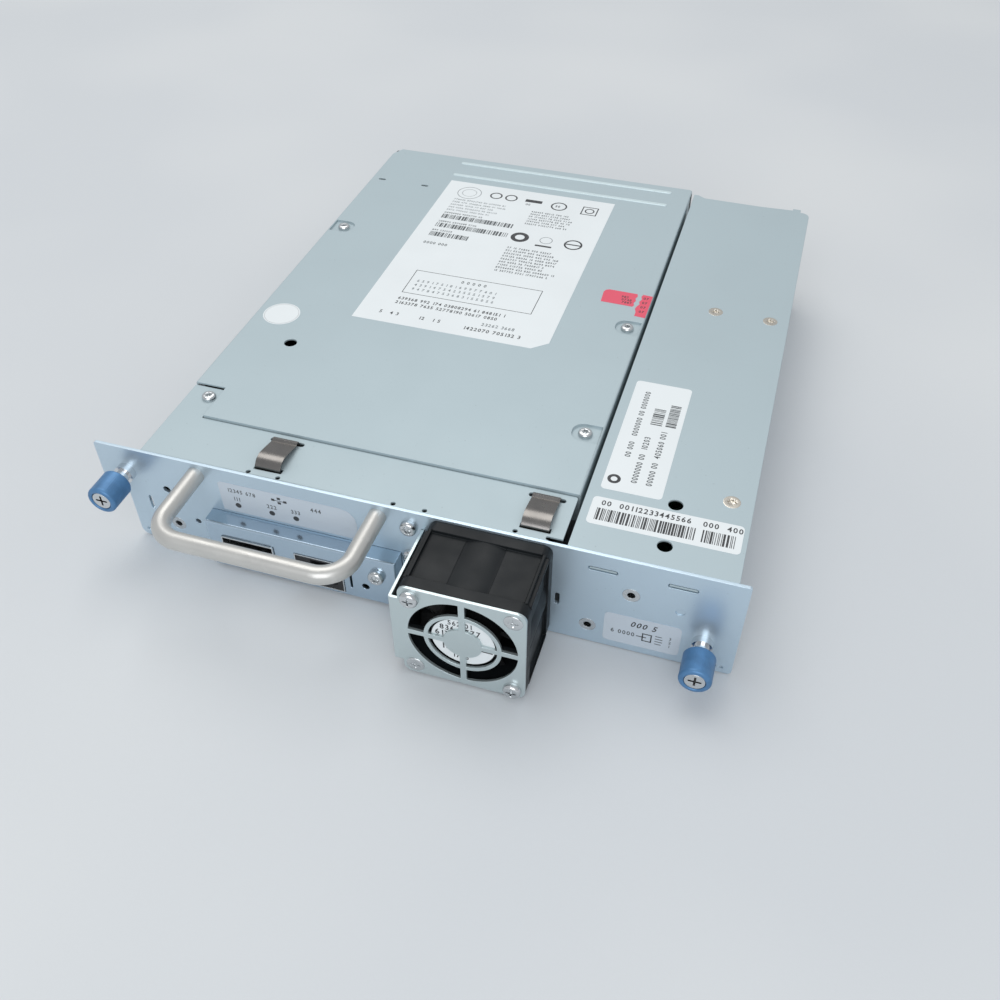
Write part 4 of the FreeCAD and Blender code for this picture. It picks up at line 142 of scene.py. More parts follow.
def rolled_sheet(name, colour, roughness, along, metallic=0.6):
    """Plated sheet: fine rolling grain one way, faint handling marks and dust-like blotches."""
    finish = Finish(name, colour, metallic, roughness)
    stretch = tuple(0.04 if axis == along else 1.0 for axis in "xyz")
    grain = finish.noise(2600, 4, stretch, 0.6)
    finish.tint(finish.noise(28, 3), tuple(c * 0.97 for c in colour), 0.35, 0.75)
    finish.tint(finish.noise(9, 2), tuple(min(1, c * 1.02) for c in colour), 0.4, 0.7)
    finish.tint(finish.noise(900, 2), tuple(c * 0.85 for c in colour), 0.7, 0.8)
    finish.gloss(finish.noise(60, 4), 0.03)
    finish.bump(grain, 0.000010, 0.3)
    finish.bump(finish.noise(60, 2), 0.00003, 0.06)
    return finish.material


def moulded(name, colour, roughness=0.5, grain=900, depth=0.00002):
    """Moulded plastic: a fine spark texture, slight colour drift and dust in it."""
    finish = Finish(name, colour, 0.0, roughness)
    finish.tint(finish.noise(45, 3), tuple(min(1, c * 1.25 + 0.004) for c in colour), 0.45, 0.75)
    finish.gloss(finish.noise(130, 3), 0.08)
    finish.bump(finish.noise(grain, 2), depth, 0.5)
    return finish.material


def machined(name, colour, roughness):
    """Turned or cold-headed metal with fine tool marks and slight tarnish."""
    finish = Finish(name, colour, 1.0, roughness)
    finish.tint(finish.noise(160, 3), tuple(c * 0.88 for c in colour), 0.5, 0.8)
    finish.gloss(finish.noise(300, 3), 0.04)
    finish.bump(finish.noise(1800, 3), 0.000005, 0.15)
    return finish.material


def satin_rod():
    """Drawn and tumbled rod, with faint rings along it."""
    finish = Finish("satin_rod", (0.56, 0.555, 0.53), 0.6, 0.36)
    finish.tint(finish.noise(30, 3), (0.52, 0.515, 0.495), 0.4, 0.75)
    finish.tint(finish.noise(240, 3), (0.62, 0.61, 0.585), 0.6, 0.8)
    finish.gloss(finish.noise(90, 4), 0.06)
    finish.bump(finish.noise(2400, 3, (0.05, 1, 1)), 0.000014, 0.4)
    finish.bump(finish.noise(160, 2), 0.00003, 0.15)
    return finish.material


def anodised(name, colour):
    """Dyed aluminium whose corners are rubbed paler."""
    finish = Finish(name, colour, 0.35, 0.42)
    finish.tint(finish.noise(260, 3), tuple(c * 0.8 for c in colour), 0.45, 0.75)
    finish.edge_wear(tuple(min(1, c * 1.6 + 0.05) for c in colour))
    finish.gloss(finish.noise(500, 3), 0.08)
    finish.bump(finish.noise(2200, 2), 0.00001, 0.4)
    return finish.material


def label_stock(name, colour, roughness):
    """Glossy label film with the faint waviness of a stuck-down sheet."""
    finish = Finish(name, colour, 0.0, roughness)
    finish.tint(finish.noise(35, 2), tuple(c * 0.965 for c in colour), 0.4, 0.75)
    finish.gloss(finish.noise(80, 3), 0.06)
    finish.bump(finish.noise(120, 2), 0.00004, 0.2)
    return finish.material


def ink(name, colour):
    """Print that is slightly uneven in strength."""
    finish = Finish(name, colour, 0.0, 0.5)
    finish.tint(finish.noise(1200, 2), tuple(min(1, c * 1.6 + 0.03) for c in colour), 0.5, 0.75)
    finish.gloss(finish.noise(300, 2), 0.05)
    return finish.material


def circuit_board():
    """Green solder mask with darker tracks under it."""
    finish = Finish("circuit_board", (0.02, 0.13, 0.06), 0.0, 0.32)
    finish.tint(finish.noise(220, 2, (1, 0.08, 1)), (0.03, 0.20, 0.09), 0.5, 0.56)
    finish.tint(finish.noise(260, 2, (0.08, 1, 1)), (0.015, 0.09, 0.045), 0.52, 0.56)
    finish.bump(finish.noise(220, 2, (1, 0.08, 1)), 0.00004, 0.4)
    return finish.material


STEEL = (0.42, 0.505, 0.535)
PALE_BLUE = (0.55, 0.67, 0.76)
FINISHES = {
    "cover_steel": rolled_sheet("cover_steel", STEEL, 0.50, "x", 0.3),
    # The beads' paler colour is a painted highlight on the raised strips.
    "bead_steel": rolled_sheet("bead_steel", (0.62, 0.73, 0.75), 0.36, "x", 0.3),
    "panel_steel": rolled_sheet("panel_steel", PALE_BLUE, 0.34, "x", 0.7),
    "bracket_zinc": rolled_sheet("bracket_zinc", (0.50, 0.62, 0.73), 0.17, "x", 0.92),
    "guard_steel": rolled_sheet("guard_steel", (0.56, 0.64, 0.65), 0.30, "z", 0.7),
    "tray_steel": rolled_sheet("tray_steel", (0.50, 0.56, 0.60), 0.42, "y"),
    "spring_steel": machined("spring_steel", (0.22, 0.21, 0.20), 0.26),
    "screw_steel": machined("screw_steel", (0.66, 0.68, 0.69), 0.24),
    # A near-black finish for the knob screws' cross recesses: painted shade in the hollow.
    "recess_dark": machined("recess_dark", (0.09, 0.09, 0.095), 0.45),
    "warm_screw": machined("warm_screw", (0.66, 0.62, 0.55), 0.28),
    "ferrule_metal": machined("ferrule_metal", (0.72, 0.74, 0.76), 0.14),
    "handle_metal": satin_rod(),
    "knob_blue": anodised("knob_blue", (0.085, 0.215, 0.41)),
    "fan_plastic": moulded("fan_plastic", (0.008, 0.010, 0.0115), 0.42),
    "rotor_plastic": moulded("rotor_plastic", (0.006, 0.0065, 0.007), 0.34),
    "black_plastic": moulded("black_plastic", (0.022, 0.022, 0.024), 0.45),
    "grey_plastic": moulded("grey_plastic", (0.20, 0.205, 0.21), 0.5),
    "white_plastic": moulded("white_plastic", (0.78, 0.78, 0.74), 0.45),
    "gear_plastic": moulded("gear_plastic", (0.70, 0.69, 0.62), 0.45),
    "clear_plastic": moulded("dark_lens", (0.012, 0.014, 0.016), 0.15, 400, 0.00001),
    "green_board": circuit_board(),
    "cast_metal": moulded("cast_metal", (0.36, 0.37, 0.38), 0.48, 500, 0.00006),
    "motor_steel": machined("motor_steel", (0.48, 0.49, 0.50), 0.32),
    "ceramic_black": moulded("ceramic_black", (0.02, 0.02, 0.022), 0.14, 1500, 0.000006),
}
# Dusty black plastics reflect less than clean ones, and cast metal is part oxide.
for name, level in (("fan_plastic", 0.2), ("rotor_plastic", 0.25), ("black_plastic", 0.3)):
    FINISHES[name].node_tree.nodes["Principled BSDF"].inputs["Specular IOR Level"].default_value = level
FINISHES["cast_metal"].node_tree.nodes["Principled BSDF"].inputs["Metallic"].default_value = 0.8

# Which finish each CAD node takes, and which body it rides on.
SLOTS = {row["node"]: row["material_slot"] for row in frame["record"]["subparts"]}
BODIES = {node: body for body, nodes in frame["record"]["behaviour"]["bodies"].items() for node in nodes}

for node, item in frame["nodes"].items():
    item.data.materials.clear()
    item.data.materials.append(FINISHES[SLOTS[node]])
frame["nodes"]["fan_rotor"].data.materials[0] = FINISHES["rotor_plastic"]


# ---------------------------------------------------------------- Pieces made from CAD nodes


def linked(name, data):
    """A new object in the scene, made of the data."""
    item = bpy.data.objects.new(name, data)
    bpy.context.scene.collection.objects.link(item)
    return item


def smooth(mesh):
    """Shade a mesh smooth, apart from its sharp corners."""
    for face in mesh.polygons:
        face.use_smooth = True
    mesh.set_sharp_from_angle(angle=CREASE)


def stand_in(piece, node):
    """Let a piece take a CAD node's place and body, and hide the node."""
    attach(piece, BODIES[node])
    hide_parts(node)


def softened(node, width, finish=None):
    """Stand a copy of a CAD node in for it, with its corners rounded as pressed or moulded edges are."""
    mesh = frame["nodes"][node].data.copy()
    work = bmesh.new()
    work.from_mesh(mesh)
    bmesh.ops.remove_doubles(work, verts=work.verts, dist=1e-7)
    bmesh.ops.dissolve_limit(work, angle_limit=math.radians(0.6), verts=work.verts, edges=work.edges,
                             use_dissolve_boundaries=False)
    work.to_mesh(mesh)
    work.free()
    mesh.materials.clear()
    mesh.materials.append(finish or FINISHES[SLOTS[node]])
    piece = linked(f"{node}_rounded", mesh)
    for face in mesh.polygons:
        face.use_smooth = True
    bevel = piece.modifiers.new("rounded_edges", "BEVEL")
    bevel.width = width * MM
    bevel.segments = 2
    bevel.limit_method = "ANGLE"
    bevel.angle_limit = math.radians(35)
    bevel.use_clamp_overlap = False
    bevel.miter_outer = "MITER_ARC"
    flats = piece.modifiers.new("flat_faces", "WEIGHTED_NORMAL")
    flats.mode = "FACE_AREA"
    flats.weight = 100
    flats.keep_sharp = False
    stand_in(piece, node)
    return piece


# ---------------------------------------------------------------- Pieces made from scratch


class Shape:
    """Closed solids gathered into one mesh, in millimetres on a set of local axes."""

    def __init__(self, origin=(0, 0, 0), across=X, up=Y, out=Z):
        self.points, self.faces, self.finish, self.flat = [], [], [], []
        self.set_frame(origin, across, up, out)

    def set_frame(self, origin, across, up, out):
        self.origin, self.axes = Vector(origin), (across, up, out)

    def place(self, point):
        return self.origin + sum((axis * value * MM for axis, value in zip(self.axes, point)), Vector())

    def add(self, points, faces, finish=0, flat=True):
        start = len(self.points)
        self.points += [self.place(point) for point in points]
        self.faces += [[start + index for index in face] for face in faces]
        self.finish += [finish] * len(faces)
        self.flat += [flat] * len(faces)

    def prism(self, outline, low, high, finish=0):
        count = len(outline)
        points = [(x, y, low) for x, y in outline] + [(x, y, high) for x, y in outline]
        faces = [list(range(count))[::-1], list(range(count, 2 * count))]
        for i in range(count):
            j = (i + 1) % count
            faces.append([i, j, count + j, count + i])
        self.add(points, faces, finish)

    def bar(self, left, right, low, high, bottom, top, finish=0):
        self.prism([(left, low), (right, low), (right, high), (left, high)], bottom, top, finish)

    def loft(self, rings, finish=0, closed=False, flat=False):
        """Skin a run of rings that have the same number of points."""
        count, rows = len(rings[0]), len(rings)
        points = [point for ring in rings for point in ring]
        faces = []
        for row in range(rows if closed else rows - 1):
            first, second = row * count, (row + 1) % rows * count
            for i in range(count):
                j = (i + 1) % count
                faces.append([first + i, first + j, second + j, second + i])
        if not closed:
            faces.append(list(range(count))[::-1])
            faces.append(list(range((rows - 1) * count, rows * count)))
        self.add(points, faces, finish, flat)

    def make(self, name, finishes, body, slot, replaces=()):
        """Turn the shape into a piece that rides on a body. Its faces' finish numbers count in finishes."""
        mesh = bpy.data.meshes.new(name)
        mesh.from_pydata(self.points, [], self.faces)
        for finish in finishes:
            mesh.materials.append(finish)
        for face, index, flat in zip(mesh.polygons, self.finish, self.flat):
            face.material_index = index
            face.use_smooth = not flat
        work = bmesh.new()
        work.from_mesh(mesh)
        bmesh.ops.recalc_face_normals(work, faces=work.faces)
        work.to_mesh(mesh)
        work.free()
        mesh.set_sharp_from_angle(angle=CREASE)
        piece = linked(name, mesh)
        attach(piece, body)
        if replaces:
            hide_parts(*replaces)
        return piece


def circle(radius, level, count=48, wobble=None):
    """A ring of points at a level. wobble maps an angle to a factor on the radius."""
    ring = []
    for step in range(count):
        angle = 2 * math.pi * step / count
        reach = radius * (wobble(angle) if wobble else 1)
        ring.append((reach * math.cos(angle), reach * math.sin(angle), level))
    return ring


def star(angle):
    """The outline of a six-lobed recess."""
    return 1 + 0.20 * math.cos(6 * angle)


def cross(angle):
    """The outline of a cross recess whose arms are 1 long and 0.34 wide."""
    side, rise = max(abs(math.cos(angle)), 1e-6), max(abs(math.sin(angle)), 1e-6)
    arm = 0.17
    return max(min(1 / side, arm / rise), min(arm / side, 1 / rise))


def corner_rounded(left, right, low, high, radius):
    """A rectangle with rounded corners, anticlockwise."""
    outline, steps = [], 5
    centres = ((right - radius, high - radius, 0), (left + radius, high - radius, 90),
               (left + radius, low + radius, 180), (right - radius, low + radius, 270))
    for x, y, start in centres:
        for step in range(steps + 1):
            angle = math.radians(start + 90 * step / steps)
            outline.append((x + radius * math.cos(angle), y + radius * math.sin(angle)))
    return outline


def screw(shape, seat, out, head, height, shank, length, recess, size, dome=0.7, sunk=0.0):
    """A screw: shank, head with a rolled edge, and a driver recess with real depth.

    head, shank and size are radii of the head, the shank and the recess. sunk is the depth of a countersunk head.
    """
    across = X if abs(out.x) < 0.5 else Y
    shape.set_frame(seat, across, out.cross(across), out)
    count = 96 if recess is cross else 60
    depth = min(height + sunk, 1.4) * 0.75
    profile = [(shank - 0.35, -length), (shank, -length + 0.5), (shank, -sunk), (head * 0.985, 0.0),
               (head, height * 0.14), (head, height * 0.14 + height * (1 - dome) * 0.5)]
    for step in range(1, 5):
        turn = math.radians(90 * step / 5)
        rise = height * (1 - dome) * 0.5 + height * 0.14
        profile.append((head * (1 - 0.32 * (1 - math.cos(turn))), rise + (height - rise) * math.sin(turn)))
    rings = [circle(radius, level, count) for radius, level in profile]
    rings.append(circle(size * 1.22, height, count))
    rings.append(circle(size * 1.05, height - 0.04, count, recess))
    rings.append(circle(size * 0.97, height - 0.16, count, recess))
    rings.append(circle(size * 0.86, height - depth, count, recess))
    rings.append(circle(size * 0.12, height - depth - 0.12, count))
    shape.loft(rings)


def solids_of(node):
    """The lowest and highest corner of each separate solid in a CAD node."""
    mesh = frame["nodes"][node].data
    work = bmesh.new()
    work.from_mesh(mesh)
    bmesh.ops.remove_doubles(work, verts=work.verts, dist=1e-6)
    seen, found = set(), []
    for vertex in work.verts:
        if vertex.index in seen:
            continue
        stack, members = [vertex], []
        seen.add(vertex.index)
        while stack:
            here = stack.pop()
            members.append(here.co.copy())
            for edge in here.link_edges:
                other = edge.other_vert(here)
                if other.index not in seen:
                    seen.add(other.index)
                    stack.append(other)
        low = Vector(min(p[i] for p in members) for i in range(3))
        high = Vector(max(p[i] for p in members) for i in range(3))
        found.append((low, high))
    work.free()
    return found


# ---------------------------------------------------------------- Labels

GLYPHS = {}


def glyph(character):
    """A plain digit or mark as a closed solid 1 mm high, made once from Blender's own font."""
    if character not in GLYPHS:
        curve = bpy.data.curves.new("glyph", "FONT")
        curve.body = character
        curve.size = 1.4
        curve.resolution_u = 2
        curve.extrude = 0.5
        curve.offset = 0.03  # thickens the strokes
        item = linked("glyph", curve)
        bpy.context.view_layer.update()
        mesh = bpy.data.meshes.new_from_object(item.evaluated_get(bpy.context.evaluated_depsgraph_get()))
        points = [tuple(vertex.co) for vertex in mesh.vertices]
        faces = [list(face.vertices) for face in mesh.polygons]
        width = max((point[0] for point in points), default=0.4)
        GLYPHS[character] = (points, faces, width)
        bpy.data.objects.remove(item)
        bpy.data.curves.remove(curve)
        bpy.data.meshes.remove(mesh)
    return GLYPHS[character]


PRINT = 0.012  # how far ink stands above the label, and reaches into it
FILM, PLATE = 0.08, 0.1  # thickness of the paper labels and of the panel's plates


class Label(Shape):
    """A stuck-down sheet with marks printed on it. Finish 0 is the stock, 1 to 3 are ever paler inks."""

    def __init__(self, origin, across, up, out, outline, thick=FILM):
        super().__init__(origin, across, up, out)
        self.top = thick
        self.prism(outline, 0.0, thick)

    def mark(self, left, right, low, high, finish=1):
        self.bar(left, right, low, high, self.top, self.top + PRINT, finish)

    def digits(self, text, x, y, size, finish=1, turn=0, slant=0.0, width=0.86):
        """A line of digits from x, y. turn is in quarter turns."""
        along = 0.0
        for character in text:
            if character == " ":
                along += size * 0.5
                continue
            points, faces, advance = glyph(character)
            placed = []
            for px, py, pz in points:
                u = along + (px * width + py * slant) * size
                v = py * size
                for _ in range(turn):
                    u, v = -v, u
                placed.append((x + u, y + v, self.top + (PRINT if pz > 0 else -PRINT)))
            self.add(placed, faces, finish)
            along += (advance * width + 0.16) * size
        return along

    def small_print(self, rng, x, y, length, size, finish):
        """A line of small digits in word-like groups that fills a length."""
        text = ""
        while len(text) * size * 0.78 < length:
            text += "".join(rng.choice("0123456789") for _ in range(rng.randint(2, 8))) + " "
        count = int(length / (size * 0.78))
        self.digits(text[:count].strip(), x, y, size, finish)

    def barcode(self, rng, left, right, low, high, finish, narrow, upright=False):
        """Bars of random width, as wide as the space allows."""
        along = left if not upright else low
        end = right if not upright else high
        while along < end - narrow:
            wide = narrow * rng.choice((1, 1, 2, 3))
            stop = min(along + wide, end)
            if upright:
                self.mark(left, right, along, stop, finish)
            else:
                self.mark(along, stop, low, high, finish)
            along = stop + narrow * rng.choice((1, 1, 2))

    def ring(self, x, y, outer, inner, finish=1, count=28):
        top, low = self.top + PRINT, self.top - PRINT
        outline = []
        for radius, level in ((outer, low), (outer, top), (inner, top), (inner, low)):
            outline.append([(x + px, y + py, level) for px, py, _ in circle(radius, 0, count)])
        self.loft(outline, finish, closed=True, flat=True)

    def frame(self, left, right, low, high, line, finish=1):
        for a, b, c, d in ((left, right, low, low + line), (left, right, high - line, high),
                           (left, left + line, low, high), (right - line, right, low, high)):
            self.mark(a, b, c, d, finish)


# Places on the object, in millimetres from the panel's lower left front corner.
PANEL_LOW, PANEL_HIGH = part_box("front_panel")
CORNER = Vector((PANEL_LOW.x, PANEL_LOW.y, 0))
SIDE_TOP = PANEL_HIGH.z


def on_top(x, y, level):
    return CORNER + Vector((x * MM, y * MM, level))


def on_panel(x, z):
    return CORNER + Vector((x * MM, 0, z * MM))


PAPER = label_stock("label_paper", (0.76, 0.80, 0.81), 0.42)
SILVER = label_stock("label_silver", (0.52, 0.58, 0.64), 0.35)
RED_FILM = label_stock("seal_film", (0.74, 0.085, 0.14), 0.35)
BLACK_INK = ink("black_ink", (0.03, 0.032, 0.035))
GREY_INK = ink("grey_ink", (0.075, 0.085, 0.09))
PALE_INK = ink("pale_ink", (0.18, 0.20, 0.21))
LABEL_FINISHES = [PAPER, BLACK_INK, GREY_INK, PALE_INK]


def drive_cover_top():
    """The level of the drive cover's flat, below its two beads."""
    bead_height = 0.35 * MM
    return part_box("drive_cover")[1].z - bead_height


def rating_label():
    """The big label: rows of digits, three bar codes, plain marks and a framed block."""
    rng = random.Random(11)
    outline = [(0, 0), (72.4, 0), (78.2, 5.1), (78.2, 117.9), (0, 117.9)]
    label = Label(on_top(54.2, 94.0, drive_cover_top()), X, Y, Z, outline)
    label.ring(12, 108.5, 5.6, 5.3, 3)
    label.ring(12, 108.5, 3.4, 3.2, 3)
    for x in (24.6, 31.8):
        label.ring(x, 109.5, 2.9, 2.2)
    label.mark(38.6, 46.4, 108.2, 110.6)
    label.digits("00", 39.6, 105.2, 1.6, 2)
    label.ring(54.6, 108.2, 3.7, 3.0)
    label.digits("50", 52.9, 107.3, 1.7)
    label.frame(65.2, 72.4, 104.4, 111.6, 0.5, 1)
    label.ring(68.8, 108.0, 2.2, 1.6)
    for row in range(5):
        label.small_print(rng, 7.0, 100.6 - row * 2.5, 27 + rng.uniform(-4, 6), 1.25, 3)
    for row in range(6):
        label.small_print(rng, 44.0, 99.6 - row * 2.2, 25 + rng.uniform(-6, 1), 1.25, 2)
    for row, (length, level) in enumerate(((33, 83.2), (33, 75.2), (18, 67.2))):
        label.small_print(rng, 7.0, level + 4.5, length * 0.6, 1.3, 2)
        label.barcode(rng, 7.0, 7.0 + length, level, level + 3.6, 2, narrow=0.3)
    label.digits("0000 000", 7.0, 60.4, 1.9, 2)
    label.ring(45.4, 77.0, 4.0, 2.1)
    label.mark(53.4, 60.6, 72.0, 73.2)
    label.ring(57.0, 77.6, 2.8, 2.5, 3)
    label.ring(69.0, 77.4, 4.0, 3.2)
    label.mark(65.8, 72.2, 77.0, 77.8)
    for row in range(9):
        label.small_print(rng, 42.6, 66.8 - row * 2.35, 29 + rng.uniform(-7, 1), 1.35, 2)
    label.frame(12.4, 66.4, 21.6, 39.0, 0.28)
    label.digits("0 0 0 0 0", 33.0, 34.6, 1.9, 2)
    for row in range(3):
        label.digits(" ".join(rng.choice("0123456789") for _ in range(17)), 15.4, 30.6 - row * 3.1, 1.7, 3)
    for row in range(2):
        label.small_print(rng, 12.6, 16.6 - row * 3.1, 52 - row * 4, 1.9, 1)
    label.digits("5   4 3", 9.0, 5.6, 2.0, 1)
    label.digits("12   1 5", 25.4, 5.6, 2.0, 1)
    label.small_print(rng, 50.0, 8.6, 17.0, 1.9, 3)
    label.small_print(rng, 44.0, 4.4, 27.0, 2.1, 1)
    return label.make("rating_label", LABEL_FINISHES, "module", "label_paper")


def side_label():
    """The label along the side box, printed sideways, with two short bar codes."""
    rng = random.Random(5)
    label = Label(on_top(168.6, 28.9, SIDE_TOP), X, Y, Z, corner_rounded(0, 20.0, 0, 59.2, 1.4))
    label.ring(3.4, 5.4, 2.2, 1.1)
    label.digits("00 000   0000000 00 0000000", 6.1, 17.2, 1.95, 2, turn=1)
    label.digits("0000000 00  10203", 10.8, 5.2, 2.05, 2, turn=1)
    label.digits("00000 00  405060 001", 15.7, 5.2, 2.05, 2, turn=1)
    label.barcode(rng, 9.2, 13.2, 36.0, 45.0, 2, upright=True, narrow=0.26)
    label.barcode(rng, 14.4, 18.0, 36.2, 48.4, 2, upright=True, narrow=0.26)
    return label.make("side_label", LABEL_FINISHES, "module", "label_paper")


def serial_label():
    """The label across the side box's near end, with two bar codes."""
    rng = random.Random(21)
    label = Label(on_top(167.7, 12.4, SIDE_TOP), X, Y, Z, corner_rounded(0, 47.9, 0, 12.4, 1.5))
    label.digits("00  00112233445566", 3.0, 8.9, 2.25, 1, width=0.9)
    label.digits("000  400", 35.2, 8.9, 2.25, 1, width=0.9)
    label.barcode(rng, 2.2, 33.4, 2.0, 7.4, 1, narrow=0.23)
    label.barcode(rng, 35.6, 46.0, 2.0, 7.4, 1, narrow=0.23)
    return label.make("serial_label", LABEL_FINISHES, "module", "label_paper")


def round_sticker():
    """The plain white disc on the drive's cover."""
    outline = [(x, y) for x, y, _ in circle(7.2, 0, 48)]
    label = Label(on_top(27.6, 87.2, drive_cover_top()), X, Y, Z, outline)
    label.ring(0, 0, 6.7, 6.6, 3, 48)
    return label.make("round_sticker", LABEL_FINISHES, "module", "label_paper")


def seals():
    """A red tamper seal torn over the joint between the drive and the side box."""
    level = drive_cover_top()
    first = Label(on_top(143.9, 132.8, level), X, Y, Z,
                  [(0.4, 0.2), (13.2, 0.0), (13.6, 1.3), (13.1, 2.6), (13.7, 4.4), (13.2, 6.0), (13.8, 7.6),
                   (13.4, 9.3), (2.0, 9.5), (0.6, 8.8), (0.0, 7.2)])
    rng = random.Random(3)
    for row in range(3):
        first.small_print(rng, 7.6 + row * 0.4, 5.2 - row * 1.9, 4.6, 1.4, 1)
    first.make("tamper_seal_left", [RED_FILM, BLACK_INK], "module", "label_paper")
    second = Label(on_top(158.2, 126.4, level), X, Y, Z,
                   [(0.9, 0.3), (5.2, 0.0), (5.3, 15.6), (1.4, 15.9), (0.9, 14.4), (1.5, 12.4), (0.8, 10.6),
                    (1.3, 8.6), (0.5, 7.0), (0.2, 5.2), (0.9, 3.0)])
    for row in range(4):
        second.digits("07", 2.0, 3.0 + row * 3.2, 1.5, 1)
    second.make("tamper_seal_right", [RED_FILM, BLACK_INK], "module", "label_paper")


def status_label():
    """The silver strip round the status lights."""
    outline = [(0.3, 0.0), (6.2, 0.0), (49.6, 0.0), (49.6, 7.2), (49.0, 10.0), (47.0, 12.2), (44.0, 12.9),
               (1.0, 12.9), (0.0, 12.0)]
    label = Label(on_panel(45.6, 23.2), X, Z, -Y, outline, PLATE)
    for spot in (51.8, 64.3, 73.1):
        dot = [(spot - 45.6 + x, 3.3 + y) for x, y, _ in circle(1.05, 0, 24)]
        label.prism(dot, 0.1, 0.16, 1)
    label.digits("12345 678", 3.2, 9.0, 1.7, 2)
    for x, y in ((19.4, 9.4), (21.6, 10.4), (23.8, 9.4), (21.6, 8.4)):
        label.mark(x, x + 1.2, y, y + 1.0, 1)
    label.mark(20.0, 24.4, 9.7, 9.95, 1)
    label.digits("111", 4.8, 5.4, 1.7, 2)
    label.digits("222", 17.2, 5.4, 1.7, 2)
    label.digits("333", 26.0, 5.4, 1.7, 2)
    label.digits("444", 33.4, 8.3, 1.8, 2)
    return label.make("status_label", [SILVER, BLACK_INK, GREY_INK], "module", "label_paper")


def type_label():
    """The silver plate at the panel's right end, with a plug drawn on it."""
    label = Label(on_panel(178.8, 3.0), X, Z, -Y, corner_rounded(0, 24.8, 0, 13.6, 1.6), PLATE)
    label.digits("000 5", 8.4, 9.2, 2.5, 1, slant=0.25)
    label.digits("6 0000", 2.4, 4.6, 1.9, 2)
    label.frame(12.6, 15.8, 3.4, 7.2, 0.42)
    label.mark(10.8, 14.0, 5.1, 5.5, 1)
    for row in range(4):
        label.mark(16.8, 19.4 - 0.3 * abs(row - 1.5), 3.2 + row * 1.25, 3.55 + row * 1.25, 2)
    for row, text in enumerate("123"):
        label.digits(text, 21.2, 3.0 + row * 1.9, 1.3, 2)
    return label.make("type_label", [SILVER, BLACK_INK, GREY_INK], "module", "label_paper")


def fan_label():
    """The round label on the fan's hub, seen between the guard's spokes."""
    low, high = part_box("fan_housing")
    middle = Vector(((low.x + high.x) / 2, low.y, (low.z + high.z) / 2))
    outline = [(x, y) for x, y, _ in circle(10.2, 0, 64)]
    label = Label(middle - Y * 0.02 * MM, X, Z, -Y, outline)
    rng = random.Random(8)
    rows = ((7.0, 2.0, 4.8), (4.2, 2.3, 7.4), (1.2, 2.4, 9.0), (-5.0, 2.6, 7.2), (-8.2, 2.0, 3.6))
    for level, size, reach in rows:
        label.small_print(rng, -reach, level, reach * 2, size, 1)
    label.mark(-9.2, -5.6, -1.8, -0.4, 1)
    label.mark(5.4, 9.4, -2.6, -1.2, 1)
    return label.make("fan_label", LABEL_FINISHES, "module", "label_paper")


# ---------------------------------------------------------------- Fasteners, knobs and handle


def cover_screws():
    """The pan heads in the drive cover's dishes."""
    shape = Shape()
    for low, high in solids_of("cover_screws"):
        middle = (low + high) / 2
        screw(shape, Vector((middle.x, middle.y, high.z - 1.6 * MM)), Z, 2.5, 1.6, 1.25, 6.0, star, 1.05)
    shape.make("cover_screw_set", [FINISHES["screw_steel"]], "module", "screw_steel", ["cover_screws"])


def flat_screws():
    """The countersunk screws of the side box, and those under the tray."""
    shape = Shape()
    for low, high in solids_of("flat_head_screws"):
        middle = (low + high) / 2
        up = middle.z > SIDE_TOP / 2
        out = Z if up else -Z
        seat = Vector((middle.x, middle.y, high.z if up else low.z)) - out * 0.05 * MM
        screw(shape, seat, out, 2.8, 0.05, 1.5, 5.6, star, 1.3, sunk=0.65)
    shape.make("flat_head_screw_set", [FINISHES["warm_screw"]], "module", "screw_steel", ["flat_head_screws"])


def front_screws(node, name, seat, *sizes):
    """Screws that are driven from the front. seat is how far the head's seat is behind its face."""
    shape = Shape()
    for low, high in solids_of(node):
        middle = (low + high) / 2
        screw(shape, Vector((middle.x, low.y + seat * MM, middle.z)), -Y, *sizes)
    shape.make(name, [FINISHES["screw_steel"]], "module", "screw_steel", [node])


def knob(side):
    """A knob with fine straight knurling between two smooth rims."""
    low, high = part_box(f"{side}_knob")
    middle = Vector(((low.x + high.x) / 2, low.y, (low.z + high.z) / 2))
    shape = Shape(middle, X, Z, Y)
    radius = (high.x - low.x) / 2 / MM
    length = (high.y - low.y) / MM
    count = 144

    def knurl(angle):
        return 1 - 0.014 * (0.5 + 0.5 * math.cos(48 * angle)) ** 0.7

    face, seat = 3.45, 1.2  # radius and depth of the recess round the screw's head
    rings = [circle(face, seat, count), circle(face, 0.25, count), circle(face + 0.25, 0.0, count)]
    for step in range(5):
        turn = math.radians(90 * step / 4)
        rings.append(circle(radius - 1.1 + 1.1 * math.sin(turn), 1.1 * (1 - math.cos(turn)), count))
    rings += [circle(radius, 1.5, count), circle(radius, 1.75, count, knurl)]
    rings += [circle(radius, length - 1.3, count, knurl)]
    rings += [circle(radius, length - 1.05, count), circle(radius, length - 0.6, count)]
    rings += [circle(radius - 0.35, length - 0.1, count), circle(radius - 0.8, length, count)]
    rings += [circle(3.65, length, count), circle(3.6, length - 0.3, count), circle(3.6, 3.25, count)]
    rings += [circle(1.52, 3.2, count), circle(1.52, seat, count)]
    shape.loft(rings, closed=True)
    shape.make(f"{side}_knurled_knob", [FINISHES["knob_blue"]], f"{side}_thumbscrew", "knob_blue",
               [f"{side}_knob"])


